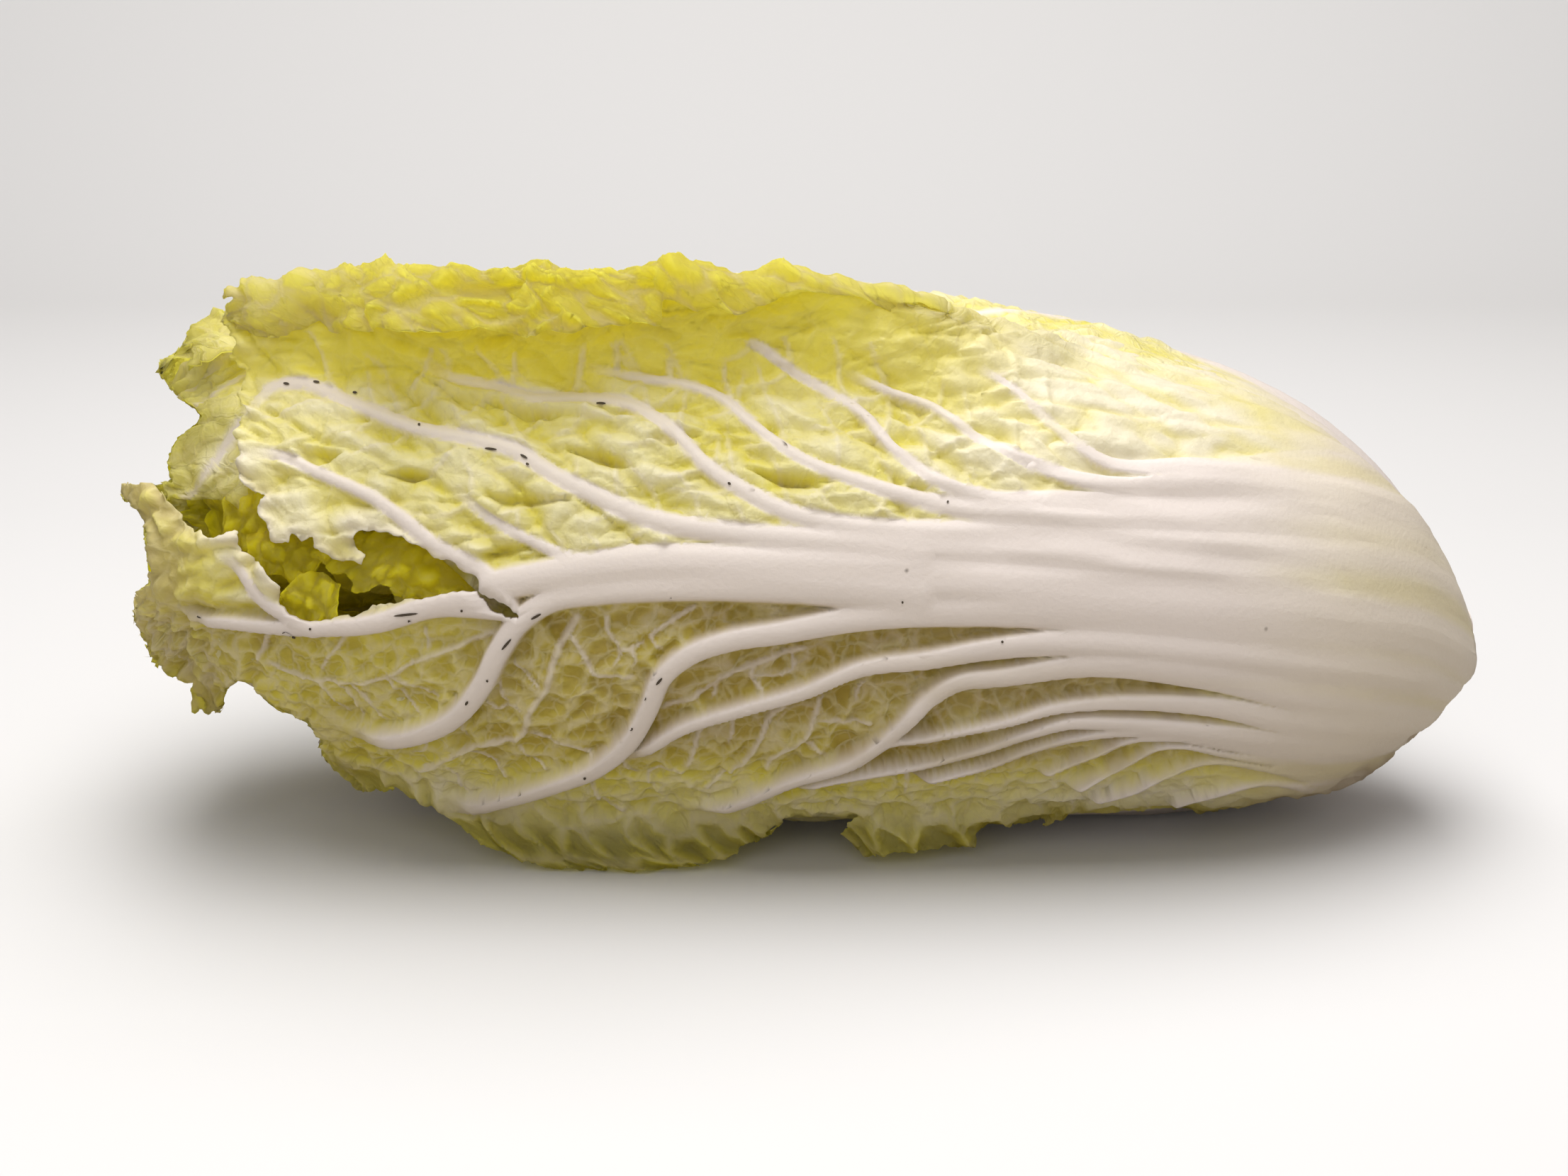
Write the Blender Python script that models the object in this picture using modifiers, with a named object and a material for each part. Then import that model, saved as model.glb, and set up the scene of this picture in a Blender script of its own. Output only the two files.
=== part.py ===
"""A head of napa cabbage lying on its side, with a torn outer leaf.

The head's length runs along X, with the cut stem at +X and the leaf tips at -X. It rests on Z = 0.
Angles round the head are measured from the front (-Y) and grow upwards, so 90 degrees is the top.
Each leaf is an open surface, shaped from a flat grid, which Solidify thickens towards the heart.
The leaves follow a 3/8 spiral round the stem and share out the depth of the head between them.
"""

import bisect
import math
from collections import namedtuple

import bmesh
import bpy
import numpy as np
from mathutils import Vector

# Sections across the head, in metres: X, underside, top, half of the depth.
# An underside below zero is pressed flat where the head rests.
SECTIONS = (
    (-0.149, 0.0580, 0.0840, 0.0150),
    (-0.1455, 0.0480, 0.0920, 0.0250),
    (-0.141, 0.0410, 0.0980, 0.0330),
    (-0.134, 0.0330, 0.1045, 0.0415),
    (-0.125, 0.0260, 0.1095, 0.0480),
    (-0.100, 0.0110, 0.1165, 0.0580),
    (-0.065, -0.0010, 0.1200, 0.0640),
    (-0.025, -0.0040, 0.1210, 0.0650),
    (0.015, -0.0040, 0.1185, 0.0640),
    (0.050, -0.0030, 0.1130, 0.0620),
    (0.080, -0.0010, 0.1055, 0.0580),
    (0.100, 0.0025, 0.0980, 0.0520),
    (0.118, 0.0085, 0.0870, 0.0420),
    (0.131, 0.0160, 0.0742, 0.0310),
    (0.140, 0.0220, 0.0610, 0.0210),
    (0.146, 0.0265, 0.0500, 0.0135),
)

# The stem inside the butt: X and radius, from the cut face to the growing point.
STEM_PROFILE = (
    (0.1474, 0.0068),
    (0.1464, 0.0082),
    (0.1400, 0.0088),
    (0.1270, 0.0120),
    (0.1100, 0.0090),
    (0.0970, 0.0035),
)
STEM_SIDES = 24
HEART_RADIUS = 0.003

LEAVES = 28
TURN = math.radians(135)  # from each leaf to the next, three eighths of a turn
COLUMN = math.radians(15)  # the grid lines that every leaf shares
HALF_SPAN = 5 * COLUMN
FIRST_BASE, LAST_BASE = 0.146, 0.100
OUTER_TIP, INNER_TIP = -0.149, -0.112
OUTER_LEAVES = 8
SHORT_TIPS = {1: -0.146, 4: -0.090, 6: -0.112, 9: -0.106, 12: -0.082, 14: -0.078, 17: -0.090}
TIP_ROUNDING = 0.020
TIP_BLEND = 0.056

BLADE = 0.0011
RIB = 0.0072
RIB_SPREAD_BASE, RIB_SPREAD_TIP = math.radians(42), math.radians(11)
LEAF_GAP = 0.0009
SLOT_FILL = 0.72  # the most of its share of the depth that a leaf may be thick
TIP_THINNING = 0.36
SLOPE_STEP = 0.004

# The front leaf leaves the head at these columns, with a curled lip above and a flared hem below.
FRONT_COLUMNS = range(-3, 4)
LIP_STEPS = (0.006, 0.013, 0.021, 0.027, 0.033, 0.039, 0.045)
LIP_STRAIGHT_FROM, LIP_STRAIGHT_TO, LIP_ARC = 0.008, 0.023, 0.013
LIP_FIRST_TURN, LIP_SECOND_TURN = math.radians(45), math.radians(150)
LIP_ALONG = ((-0.130, 0.4), (-0.100, 0.75), (-0.065, 1.0), (-0.025, 1.0), (0.015, 0.7), (0.050, 0.1), (0.146, 0.0))
HEM_STEPS = (0.010, 0.019)
HEM_ALONG = ((-0.105, 0.0), (-0.065, 1.0), (-0.025, 1.0), (0.015, 0.6), (0.050, 0.1), (0.146, 0.0))
HEM_TURN = math.radians(52)
LIP_REACH = 2 * COLUMN / LIP_STEPS[-1]  # where an edge lies on the head, the angle that it covers per metre
HEM_REACH = 1.2 * COLUMN / HEM_STEPS[-1]
PATH_STEPS = 40

# Outline of the tear that runs into the front leaf from its tip: X and Z.
TEAR = (
    (-0.155, 0.125),
    (-0.123, 0.125),
    (-0.119, 0.088),
    (-0.110, 0.079),
    (-0.098, 0.077),
    (-0.088, 0.081),
    (-0.076, 0.077),
    (-0.066, 0.072),
    (-0.066, 0.067),
    (-0.085, 0.066),
    (-0.103, 0.063),
    (-0.110, 0.067),
    (-0.118, 0.074),
    (-0.155, 0.081),
)
TEAR_FROM, TEAR_TO = -0.080, -0.005

COLOURS = {
    "rib": ((0.86, 0.83, 0.76), 0.38),
    "outer": ((0.72, 0.70, 0.34), 0.45),
    "inner": ((0.80, 0.75, 0.30), 0.5),
}

Leaf = namedtuple("Leaf", "number centre base tip")


def between(x, table):
    """The value at x of a table of (place, value) pairs in rising order."""
    places, values = zip(*table)
    return float(np.interp(x, places, values))


def section(x):
    """Height of the head's axis at x, half its height and half its depth."""
    places, low, high, deep = np.array(SECTIONS).T
    low, high, deep = (float(np.interp(x, places, side)) for side in (low, high, deep))
    return (low + high) / 2, (high - low) / 2, deep


def head_radius(x, angle):
    """From the axis to the outside of the head, flat where it rests."""
    axis, tall, deep = section(x)
    radius = 1 / math.hypot(math.cos(angle) / deep, math.sin(angle) / tall)
    if math.sin(angle) < 0:
        radius = min(radius, axis / -math.sin(angle))
    return radius


def heart_radius(x):
    """The space at the axis that no leaf enters: the stem, and a thin hollow beyond it."""
    return max(HEART_RADIUS, between(x, STEM_PROFILE[::-1]) + LEAF_GAP)


def around(x, angle, radius):
    """The point at that angle and radius round the head's axis."""
    axis = section(x)[0]
    return Vector((x, -radius * math.cos(angle), axis + radius * math.sin(angle)))


def turned_from(angle, centre):
    """How far angle is from centre, the shorter way round."""
    return abs((angle - centre + math.pi) % math.tau - math.pi)


def smooth(t):
    t = min(max(t, 0.0), 1.0)
    return t * t * (3 - 2 * t)


def list_leaves():
    leaves = []
    for i in range(LEAVES):
        number = i + 1
        base = FIRST_BASE + (LAST_BASE - FIRST_BASE) * i / (LEAVES - 1)
        inward = max(0, number - OUTER_LEAVES) / (LEAVES - OUTER_LEAVES)
        tip = SHORT_TIPS.get(number, OUTER_TIP + (INNER_TIP - OUTER_TIP) * inward)
        leaves.append(Leaf(number, i * TURN % math.tau, base, tip))
    return leaves


def near_tip(leaf, x):
    return smooth((leaf.tip + TIP_BLEND - x) / TIP_BLEND)


def leaf_thickness(leaf, x, angle):
    """Thick along the midrib and at the base, thin in the blade."""
    along = min(max((leaf.base - x) / (leaf.base - leaf.tip), 0), 1)
    spread = RIB_SPREAD_BASE + (RIB_SPREAD_TIP - RIB_SPREAD_BASE) * along
    crown = math.exp(-((turned_from(angle, leaf.centre) / spread) ** 2))
    return BLADE + (RIB - BLADE) * (1 - 0.8 * along) * crown


def depth_share(leaf, x, angle):
    """The depth that a leaf asks for, fading out past its edges so that its neighbours bend smoothly."""
    beside = smooth((HALF_SPAN + COLUMN - turned_from(angle, leaf.centre)) / COLUMN)
    behind = smooth((leaf.base + 0.015 - x) / 0.025)
    beyond = smooth((x - leaf.tip + 0.020) / 0.020)
    return beside * behind * beyond * (leaf_thickness(leaf, x, angle) + LEAF_GAP)


def slot_at_section(leaf, leaves, x, angle):
    """The radius of a leaf's outer side at a shared section, and how thick it may be there."""
    shares = [depth_share(each, x, angle) for each in leaves]
    outside = head_radius(x, angle)
    room = outside - heart_radius(x)
    scale = room / max(sum(shares), 1e-6)
    radius = outside - scale * sum(shares[: leaf.number - 1])
    steepness = (head_radius(x + SLOPE_STEP, angle) - head_radius(x - SLOPE_STEP, angle)) / (2 * SLOPE_STEP)
    fill = SLOT_FILL - TIP_THINNING * near_tip(leaf, x)
    allowed = fill * scale * shares[leaf.number - 1] / math.hypot(1, steepness)
    return radius, min(leaf_thickness(leaf, x, angle), allowed)


def slot(leaf, leaves, x, angle):
    """The same anywhere along a leaf, on the straight lines that its neighbours follow between sections."""
    stations = [row[0] for row in SECTIONS]
    after = min(max(bisect.bisect_left(stations, x), 1), len(stations) - 1)
    near, far = stations[after - 1], stations[after]
    t = (x - near) / (far - near)
    first, second = (slot_at_section(leaf, leaves, station, angle) for station in (near, far))
    return tuple(a + (b - a) * t for a, b in zip(first, second))


def rows_of(leaf):
    """The shared sections that lie along the leaf, from base to tip, with its own two ends."""
    inside = [row[0] for row in SECTIONS if leaf.tip + 0.006 < row[0] < leaf.base - 0.003]
    return [leaf.base, *reversed(inside), leaf.tip]


def rounded(leaf, x, angle):
    """x moved back from the tip, more towards the sides, so that the tip is round."""
    return x + TIP_ROUNDING * near_tip(leaf, x) * (turned_from(angle, leaf.centre) / HALF_SPAN) ** 2


def grid_object(name, rows, columns, place):
    """A grid of points, each put at place(row, column), which gives a point and a thickness."""
    mesh = bpy.data.meshes.new(name)
    bm = bmesh.new()
    bmesh.ops.create_grid(bm, x_segments=rows - 1, y_segments=columns - 1, size=0.5)
    thickness = []
    for vertex in bm.verts:
        row = round((0.5 - vertex.co.x) * (rows - 1))
        column = round((vertex.co.y + 0.5) * (columns - 1))
        vertex.co, depth = place(row, column)
        thickness.append(depth)
    bm.to_mesh(mesh)
    bm.free()
    made = bpy.data.objects.new(name, mesh)
    group = made.vertex_groups.new(name="thickness")
    for index, depth in enumerate(thickness):
        group.add([index], depth / RIB, "REPLACE")
    solid = made.modifiers.new("thickness", "SOLIDIFY")
    solid.thickness = RIB
    solid.offset = -1
    solid.vertex_group = group.name
    return made


def leaf_object(leaf, leaves):
    """A leaf that lies in the head all the way round."""
    rows = rows_of(leaf)
    angles = [leaf.centre + COLUMN * i for i in range(-5, 6)]

    def place(row, column):
        angle = angles[column]
        x = rounded(leaf, rows[row], angle)
        radius, depth = slot(leaf, leaves, x, angle)
        return around(x, angle, radius), depth

    return grid_object(f"leaf_{leaf.number:02d}", len(rows), len(angles), place)


def walk(start, heading, turning, length):
    """The point reached by walking length across the head from start, where turning(s) is the turn so far."""
    y, z = start.y, start.z
    step = length / PATH_STEPS
    for i in range(PATH_STEPS):
        direction = heading + turning((i + 0.5) * step)
        y += math.cos(direction) * step
        z += math.sin(direction) * step
    return Vector((start.x, y, z))


def lip_turning(s):
    """Up off the head, straight for a way, then over towards the front."""
    first = min(s / LIP_STRAIGHT_FROM, 1) * LIP_FIRST_TURN
    second = min(max((s - LIP_STRAIGHT_TO) / LIP_ARC, 0), 1) * LIP_SECOND_TURN
    return first + second


def hem_turning(s):
    """Down off the head to the surface that it rests on."""
    return -HEM_TURN * min(s / HEM_STEPS[0], 1)


def front_leaf_object(leaf, leaves):
    """The outermost leaf, which faces the front: its upper edge curls over and its lower edge flares."""
    rows = rows_of(leaf)
    across = [COLUMN * i for i in FRONT_COLUMNS]
    low, high = across[0], across[-1]
    columns = len(HEM_STEPS) + len(across) + len(LIP_STEPS)

    def edge_place(x, edge, reach, s, turning, amount):
        """Past an edge column, between where the leaf would lie on the head and where it bends free."""
        held_angle = edge + reach * s
        radius, depth = slot(leaf, leaves, x, held_angle)
        held = around(x, held_angle, radius)
        heading = math.copysign(math.pi / 2, reach) - edge
        free = walk(around(x, edge, head_radius(x, edge)), heading, turning, s)
        point = held.lerp(free, amount)
        point.z = max(point.z, 0.0)
        return point, depth

    def place(row, column):
        i = column - len(HEM_STEPS)
        if i < 0:
            s = HEM_STEPS[-1 - column]
            x = rounded(leaf, rows[row], low - HEM_REACH * s)
            return edge_place(x, low, -HEM_REACH, s, hem_turning, between(x, HEM_ALONG))
        if i >= len(across):
            s = LIP_STEPS[i - len(across)]
            x = rounded(leaf, rows[row], high + LIP_REACH * s)
            return edge_place(x, high, LIP_REACH, s, lip_turning, between(x, LIP_ALONG))
        x = rounded(leaf, rows[row], across[i])
        radius, depth = slot(leaf, leaves, x, across[i])
        return around(x, across[i], radius), depth

    return grid_object(f"leaf_{leaf.number:02d}", len(rows), columns, place)


def tear_cutter():
    """A prism with the tear's outline, through the front leaf only."""
    mesh = bpy.data.meshes.new("tear_cutter")
    bm = bmesh.new()
    outline = bm.faces.new([bm.verts.new((x, TEAR_FROM, z)) for x, z in TEAR])
    extruded = bmesh.ops.extrude_face_region(bm, geom=[outline])
    moved = [item for item in extruded["geom"] if isinstance(item, bmesh.types.BMVert)]
    bmesh.ops.translate(bm, verts=moved, vec=(0, TEAR_TO - TEAR_FROM, 0))
    bmesh.ops.recalc_face_normals(bm, faces=bm.faces)
    bm.to_mesh(mesh)
    bm.free()
    cutter = bpy.data.objects.new("tear_cutter", mesh)
    cutter.hide_render = True
    cutter.display_type = "WIRE"
    return cutter


def stem_object():
    """The stem that the leaves grow from: a turned profile laid along the head's axis."""
    mesh = bpy.data.meshes.new("stem")
    near, far = STEM_PROFILE[0][0], STEM_PROFILE[-1][0]
    profile = [(0.0, near), *[(radius, x) for x, radius in STEM_PROFILE], (0.0, far)]
    points = [(radius, 0.0, x - near) for radius, x in profile]
    mesh.from_pydata(points, [(i, i + 1) for i in range(len(points) - 1)], [])
    stem = bpy.data.objects.new("stem", mesh)
    turned = stem.modifiers.new("turned", "SCREW")
    turned.steps = turned.render_steps = STEM_SIDES
    turned.use_merge_vertices = True
    turned.merge_threshold = 0.00001
    start = Vector((near, 0, section(near)[0]))
    stem.location = start
    stem.rotation_euler = (start - Vector((far, 0, section(far)[0]))).to_track_quat("Z", "Y").to_euler()
    return stem


def material(name):
    colour, roughness = COLOURS[name]
    made = bpy.data.materials.new(name)
    made.use_nodes = True
    shader = made.node_tree.nodes["Principled BSDF"]
    shader.inputs["Base Color"].default_value = (*colour, 1)
    shader.inputs["Roughness"].default_value = roughness
    shader.inputs["Metallic"].default_value = 0
    return made


def collection(name):
    made = bpy.data.collections.new(name)
    bpy.context.scene.collection.children.link(made)
    return made


def main():
    for old in list(bpy.data.objects):
        bpy.data.objects.remove(old)
    cabbage, cutters = collection("napa_cabbage"), collection("cutters")
    cutters.hide_render = True
    finishes = {name: material(name) for name in COLOURS}

    stem = stem_object()
    stem.data.materials.append(finishes["rib"])
    cabbage.objects.link(stem)

    cutter = tear_cutter()
    cutters.objects.link(cutter)
    leaves = list_leaves()
    for leaf in leaves:
        made = front_leaf_object(leaf, leaves) if leaf.number == 1 else leaf_object(leaf, leaves)
        made.data.materials.append(finishes["outer" if leaf.number <= OUTER_LEAVES else "inner"])
        cabbage.objects.link(made)
        if leaf.number == 1:
            torn = made.modifiers.new("tear", "BOOLEAN")
            torn.operation = "DIFFERENCE"
            torn.object = cutter
        made.data.shade_smooth()


main()
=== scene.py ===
"""The looks of a head of napa cabbage lying on its side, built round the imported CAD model.

Lengths are metres, and lists of hand-drawn points are millimetres, as their names say.
Every leaf is a grid of points on the head's own shape. Veins, pillows and frills lift that grid, and a
second layer of the same grid, a leaf's thickness further in, closes it.
What is drawn on the front leaf is drawn as the camera sees it, then laid on the leaf along the camera's
rays.
"""

import math
from collections import namedtuple
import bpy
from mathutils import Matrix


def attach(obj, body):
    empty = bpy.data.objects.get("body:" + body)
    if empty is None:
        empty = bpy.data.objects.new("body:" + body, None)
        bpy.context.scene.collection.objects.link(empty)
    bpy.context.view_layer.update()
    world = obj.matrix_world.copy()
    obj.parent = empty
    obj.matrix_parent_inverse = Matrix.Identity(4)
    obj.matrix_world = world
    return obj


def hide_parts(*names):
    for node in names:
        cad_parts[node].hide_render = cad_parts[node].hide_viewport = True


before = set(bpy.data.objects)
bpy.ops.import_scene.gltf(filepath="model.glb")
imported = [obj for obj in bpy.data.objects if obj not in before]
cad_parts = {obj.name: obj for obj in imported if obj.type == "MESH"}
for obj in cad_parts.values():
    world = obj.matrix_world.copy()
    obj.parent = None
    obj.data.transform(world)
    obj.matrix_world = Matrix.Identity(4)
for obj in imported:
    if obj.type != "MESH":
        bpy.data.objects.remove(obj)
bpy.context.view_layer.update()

from types import SimpleNamespace as Fields

import bpy
import numpy as np
from mathutils import Vector
from mathutils.bvhtree import BVHTree

MM = 0.001

# ------------------------------------------------------------------ the head's shape, as in the CAD

# Sections across the head: X, underside, top, half of the depth.
SECTIONS = np.array((
    (-0.149, 0.0580, 0.0840, 0.0150),
    (-0.1455, 0.0480, 0.0920, 0.0250),
    (-0.141, 0.0410, 0.0980, 0.0330),
    (-0.134, 0.0330, 0.1045, 0.0415),
    (-0.125, 0.0260, 0.1095, 0.0480),
    (-0.100, 0.0110, 0.1165, 0.0580),
    (-0.065, -0.0010, 0.1200, 0.0640),
    (-0.025, -0.0040, 0.1210, 0.0650),
    (0.015, -0.0040, 0.1185, 0.0640),
    (0.050, -0.0030, 0.1130, 0.0620),
    (0.080, -0.0010, 0.1055, 0.0580),
    (0.100, 0.0025, 0.0980, 0.0520),
    (0.118, 0.0085, 0.0870, 0.0420),
    (0.131, 0.0160, 0.0742, 0.0310),
    (0.140, 0.0220, 0.0610, 0.0210),
    (0.146, 0.0265, 0.0500, 0.0135),
))
STEM_PROFILE = np.array((
    (0.0970, 0.0035),
    (0.1100, 0.0090),
    (0.1270, 0.0120),
    (0.1400, 0.0088),
    (0.1464, 0.0082),
    (0.1474, 0.0068),
))
HEART_RADIUS = 0.003

LEAVES = 28
TURN = math.radians(135)
COLUMN = math.radians(15)
HALF_SPAN = 5 * COLUMN
FIRST_BASE, LAST_BASE = 0.146, 0.100
OUTER_TIP, INNER_TIP = -0.149, -0.112
OUTER_LEAVES = 8
SHORT_TIPS = {1: -0.146, 4: -0.090, 6: -0.112, 9: -0.106, 12: -0.082, 14: -0.078, 17: -0.090}

SHARE_BLADE, SHARE_RIB, SHARE_GAP = 0.0011, 0.0072, 0.0009
RIB_SPREAD_BASE, RIB_SPREAD_TIP = math.radians(42), math.radians(11)
RELIEF_ROOM = 0.0012  # kept free under the CAD's outside for what stands up from a leaf

Leaf = namedtuple("Leaf", "number centre base tip")


def placed(name, data):
    """A new object in the scene."""
    made = bpy.data.objects.new(name, data)
    bpy.context.scene.collection.objects.link(made)
    return made


def smooth(t):
    """From 0 to 1 as t goes from 0 to 1, flat at both ends."""
    t = np.clip(t, 0, 1)
    return t * t * (3 - 2 * t)


def curve_through(x, places, values):
    """A smooth curve through values at rising places, flat beyond them."""
    places, values = np.asarray(places), np.asarray(values)
    slopes = np.gradient(values, places)
    i = np.clip(np.searchsorted(places, x) - 1, 0, len(places) - 2)
    width = places[i + 1] - places[i]
    t = np.clip((x - places[i]) / width, 0, 1)
    rise = t * t * (3 - 2 * t)
    leaving = t * (1 - t) ** 2 * width * slopes[i]
    arriving = t * t * (t - 1) * width * slopes[i + 1]
    return values[i] + rise * (values[i + 1] - values[i]) + leaving + arriving


def section(x):
    """The height of the head's axis, half its height and half its depth."""
    low, high, deep = (curve_through(x, SECTIONS[:, 0], SECTIONS[:, side]) for side in (1, 2, 3))
    return (low + high) / 2, (high - low) / 2, deep


def head_radius(x, angle):
    """How far the head's outside is from its axis: an oval, cut off flat where it lies on the floor."""
    axis, tall, deep = section(x)
    radius = 1 / np.hypot(np.cos(angle) / deep, np.sin(angle) / tall) - RELIEF_ROOM
    down = np.maximum(-np.sin(angle), 1e-3)
    return np.where(np.sin(angle) < 0, np.minimum(radius, (axis - 0.0004) / down), radius)


def around(x, angle, radius):
    """Points round the head's axis, at an angle of 0 to the front and 90 degrees at the top."""
    axis = section(x)[0]
    return np.stack([x + 0 * radius, -radius * np.cos(angle), axis + radius * np.sin(angle)], -1)


def list_leaves():
    """The leaves from the outermost in, in a spiral round the stem."""
    leaves = []
    for i in range(LEAVES):
        number = i + 1
        base = FIRST_BASE + (LAST_BASE - FIRST_BASE) * i / (LEAVES - 1)
        inward = max(0, number - OUTER_LEAVES) / (LEAVES - OUTER_LEAVES)
        tip = SHORT_TIPS.get(number, OUTER_TIP + (INNER_TIP - OUTER_TIP) * inward)
        leaves.append(Leaf(number, i * TURN % math.tau, base, tip))
    return leaves


def depth_share(leaf, x, angle):
    """The depth that a leaf takes at a place, fading out past its edges."""
    turned = np.abs((angle - leaf.centre + math.pi) % math.tau - math.pi)
    along = np.clip((leaf.base - x) / (leaf.base - leaf.tip), 0, 1)
    spread = RIB_SPREAD_BASE + (RIB_SPREAD_TIP - RIB_SPREAD_BASE) * along
    rib = (SHARE_RIB - SHARE_BLADE) * (1 - 0.8 * along) * np.exp(-((turned / spread) ** 2))
    beside = smooth((HALF_SPAN + COLUMN - turned) / COLUMN)
    behind = smooth((leaf.base + 0.015 - x) / 0.025)
    beyond = smooth((x - leaf.tip + 0.020) / 0.020)
    return beside * behind * beyond * (SHARE_BLADE + rib + SHARE_GAP)


def leaf_radius(leaf, leaves, x, angle):
    """How far a leaf is from the axis: the leaves share out the depth between the outside and the heart."""
    outside = head_radius(x, angle)
    heart = np.maximum(HEART_RADIUS, np.interp(x, *STEM_PROFILE.T) + SHARE_GAP)
    above = sum((depth_share(each, x, angle) for each in leaves[: leaf.number - 1]), 0 * outside)
    below = sum(depth_share(each, x, angle) for each in leaves[leaf.number - 1:])
    return outside - (outside - heart) * above / np.maximum(above + below, 1e-6)


# ------------------------------------------------------------------ noise on flat coordinates

def hashed(i, j, seed):
    """A number from 0 to 1 for each whole i and j, the same in every run."""
    h = i.astype(np.int64).astype(np.uint32) * np.uint32(374761393)
    h = h + j.astype(np.int64).astype(np.uint32) * np.uint32(668265263) + np.uint32(seed * 2654435 + 97)
    h = (h ^ (h >> np.uint32(13))) * np.uint32(1274126177)
    h = (h ^ (h >> np.uint32(15))) * np.uint32(2246822519)
    return (h ^ (h >> np.uint32(16))) / 2.0**32


def noise(u, v, size, seed):
    """Smooth hills and hollows about that size across, mostly from -1 to 1."""
    u, v = u / size, v / size
    i, j = np.floor(u), np.floor(v)
    total = 0
    for di in (0, 1):
        for dj in (0, 1):
            du, dv = u - i - di, v - j - dj
            direction = math.tau * hashed(i + di, j + dj, seed)
            total = total + (du * np.cos(direction) + dv * np.sin(direction)) * fade(du) * fade(dv)
    return 1.7 * total


def fade(offset):
    """How much a corner of the noise's grid counts at that distance from it."""
    t = 1 - np.abs(offset)
    return t * t * t * (t * (6 * t - 15) + 10)


def cells(u, v, size, seed):
    """Distance in sizes to the wall between scattered cells, and a random number for each cell."""
    u, v = u / size, v / size
    i, j = np.floor(u), np.floor(v)
    first, second, which = (np.full(u.shape, filled) for filled in (9.0, 9.0, 0.0))
    for di in (-1, 0, 1):
        for dj in (-1, 0, 1):
            ci, cj = i + di, j + dj
            away = np.hypot(ci + hashed(ci, cj, seed) - u, cj + hashed(ci, cj, seed + 1) - v)
            which = np.where(away < first, hashed(ci, cj, seed + 2), which)
            second = np.where(away < first, first, np.minimum(second, away))
            first = np.minimum(first, away)
    return (second - first) / 2, which


# ------------------------------------------------------------------ camera

TARGET = Vector((-0.0031, 0, 0.0513))
DISTANCE, ELEVATION = 0.52, math.radians(15)
LENS, SENSOR = 54, 36


def make_camera():
    data = bpy.data.cameras.new("camera")
    data.lens, data.sensor_width = LENS, SENSOR
    camera = placed("camera", data)
    camera.location = TARGET + DISTANCE * Vector((0, -math.cos(ELEVATION), math.sin(ELEVATION)))
    camera.rotation_euler = (TARGET - camera.location).to_track_quat("-Z", "Y").to_euler()
    bpy.context.scene.camera = camera


EYE = np.array(TARGET) + DISTANCE * np.array((0, -math.cos(ELEVATION), math.sin(ELEVATION)))
SEEN_UP = np.array((0, math.sin(ELEVATION), math.cos(ELEVATION)))
SEEN_IN = np.array((0, math.cos(ELEVATION), -math.sin(ELEVATION)))


def as_seen(points):
    """Where points lie in the camera's view, across and up from its middle, at the target's distance."""
    from_eye = points - EYE
    scale = DISTANCE / (from_eye @ SEEN_IN)
    return np.stack([from_eye[..., 0] * scale, (from_eye @ SEEN_UP) * scale], -1)


def rays_to(seen):
    """Directions from the camera through places in its view."""
    across, up = np.asarray(seen).T
    direction = DISTANCE * SEEN_IN + across[:, None] * np.array((1, 0, 0)) + up[:, None] * SEEN_UP
    return direction / np.linalg.norm(direction, axis=1)[:, None]


def signed_distance(places, outline):
    """Distance from places to a closed outline, negative inside it."""
    nearest = np.full(places.shape[:-1], np.inf)
    inside = np.zeros(places.shape[:-1], bool)
    for start, end in zip(outline, np.roll(outline, -1, axis=0)):
        side = end - start
        t = np.clip(((places - start) @ side) / (side @ side), 0, 1)
        nearest = np.minimum(nearest, np.linalg.norm(places - start - t[..., None] * side, axis=-1))
        crosses = (start[1] > places[..., 1]) != (end[1] > places[..., 1])
        rise = side[1] if side[1] else 1e-12
        at = start[0] + (places[..., 1] - start[1]) * side[0] / rise
        inside ^= crosses & (places[..., 0] < at)
    return np.where(inside, -nearest, nearest)


# ------------------------------------------------------------------ sheets and veins

Sheet = namedtuple("Sheet", "points normals down over along across")
# A path, its half-width and height at the root and at the end, how far the white spreads at the root, and how
# white it is.
Vein = namedtuple("Vein", "path wide narrow high low spread strong", defaults=(1.0,))


def sheet_of(points):
    """A grid of points with its outward normals and its flat coordinates, measured over its surface."""
    down, over = (unit(np.gradient(points, axis=axis)) for axis in (0, 1))
    normals = unit(np.cross(over, down))
    middle = points.shape[1] // 2
    steps = np.linalg.norm(np.diff(points, axis=0), axis=-1)
    along = np.vstack([np.zeros(points.shape[1]), np.cumsum(steps, axis=0)])
    steps = np.linalg.norm(np.diff(points, axis=1), axis=-1)
    across = np.hstack([np.zeros((points.shape[0], 1)), np.cumsum(steps, axis=1)])
    return Sheet(points, normals, down, over, along, across - across[:, middle: middle + 1])


def unit(vectors):
    """The same directions, one long."""
    return vectors / np.maximum(np.linalg.norm(vectors, axis=-1), 1e-12)[..., None]


def frilled(sheet, amount, size, seed):
    """Moves a sheet's points up, down and sideways by about that amount, in bumps of about that size."""
    u, v = sheet.along, sheet.across
    moves = zip((sheet.normals, sheet.down, sheet.over), (1.0, 0.6, 0.6))
    return sum(
        (share * amount * noise(u, v, size, seed + 3 * i))[..., None] * way
        for i, (way, share) in enumerate(moves)
    )


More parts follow.
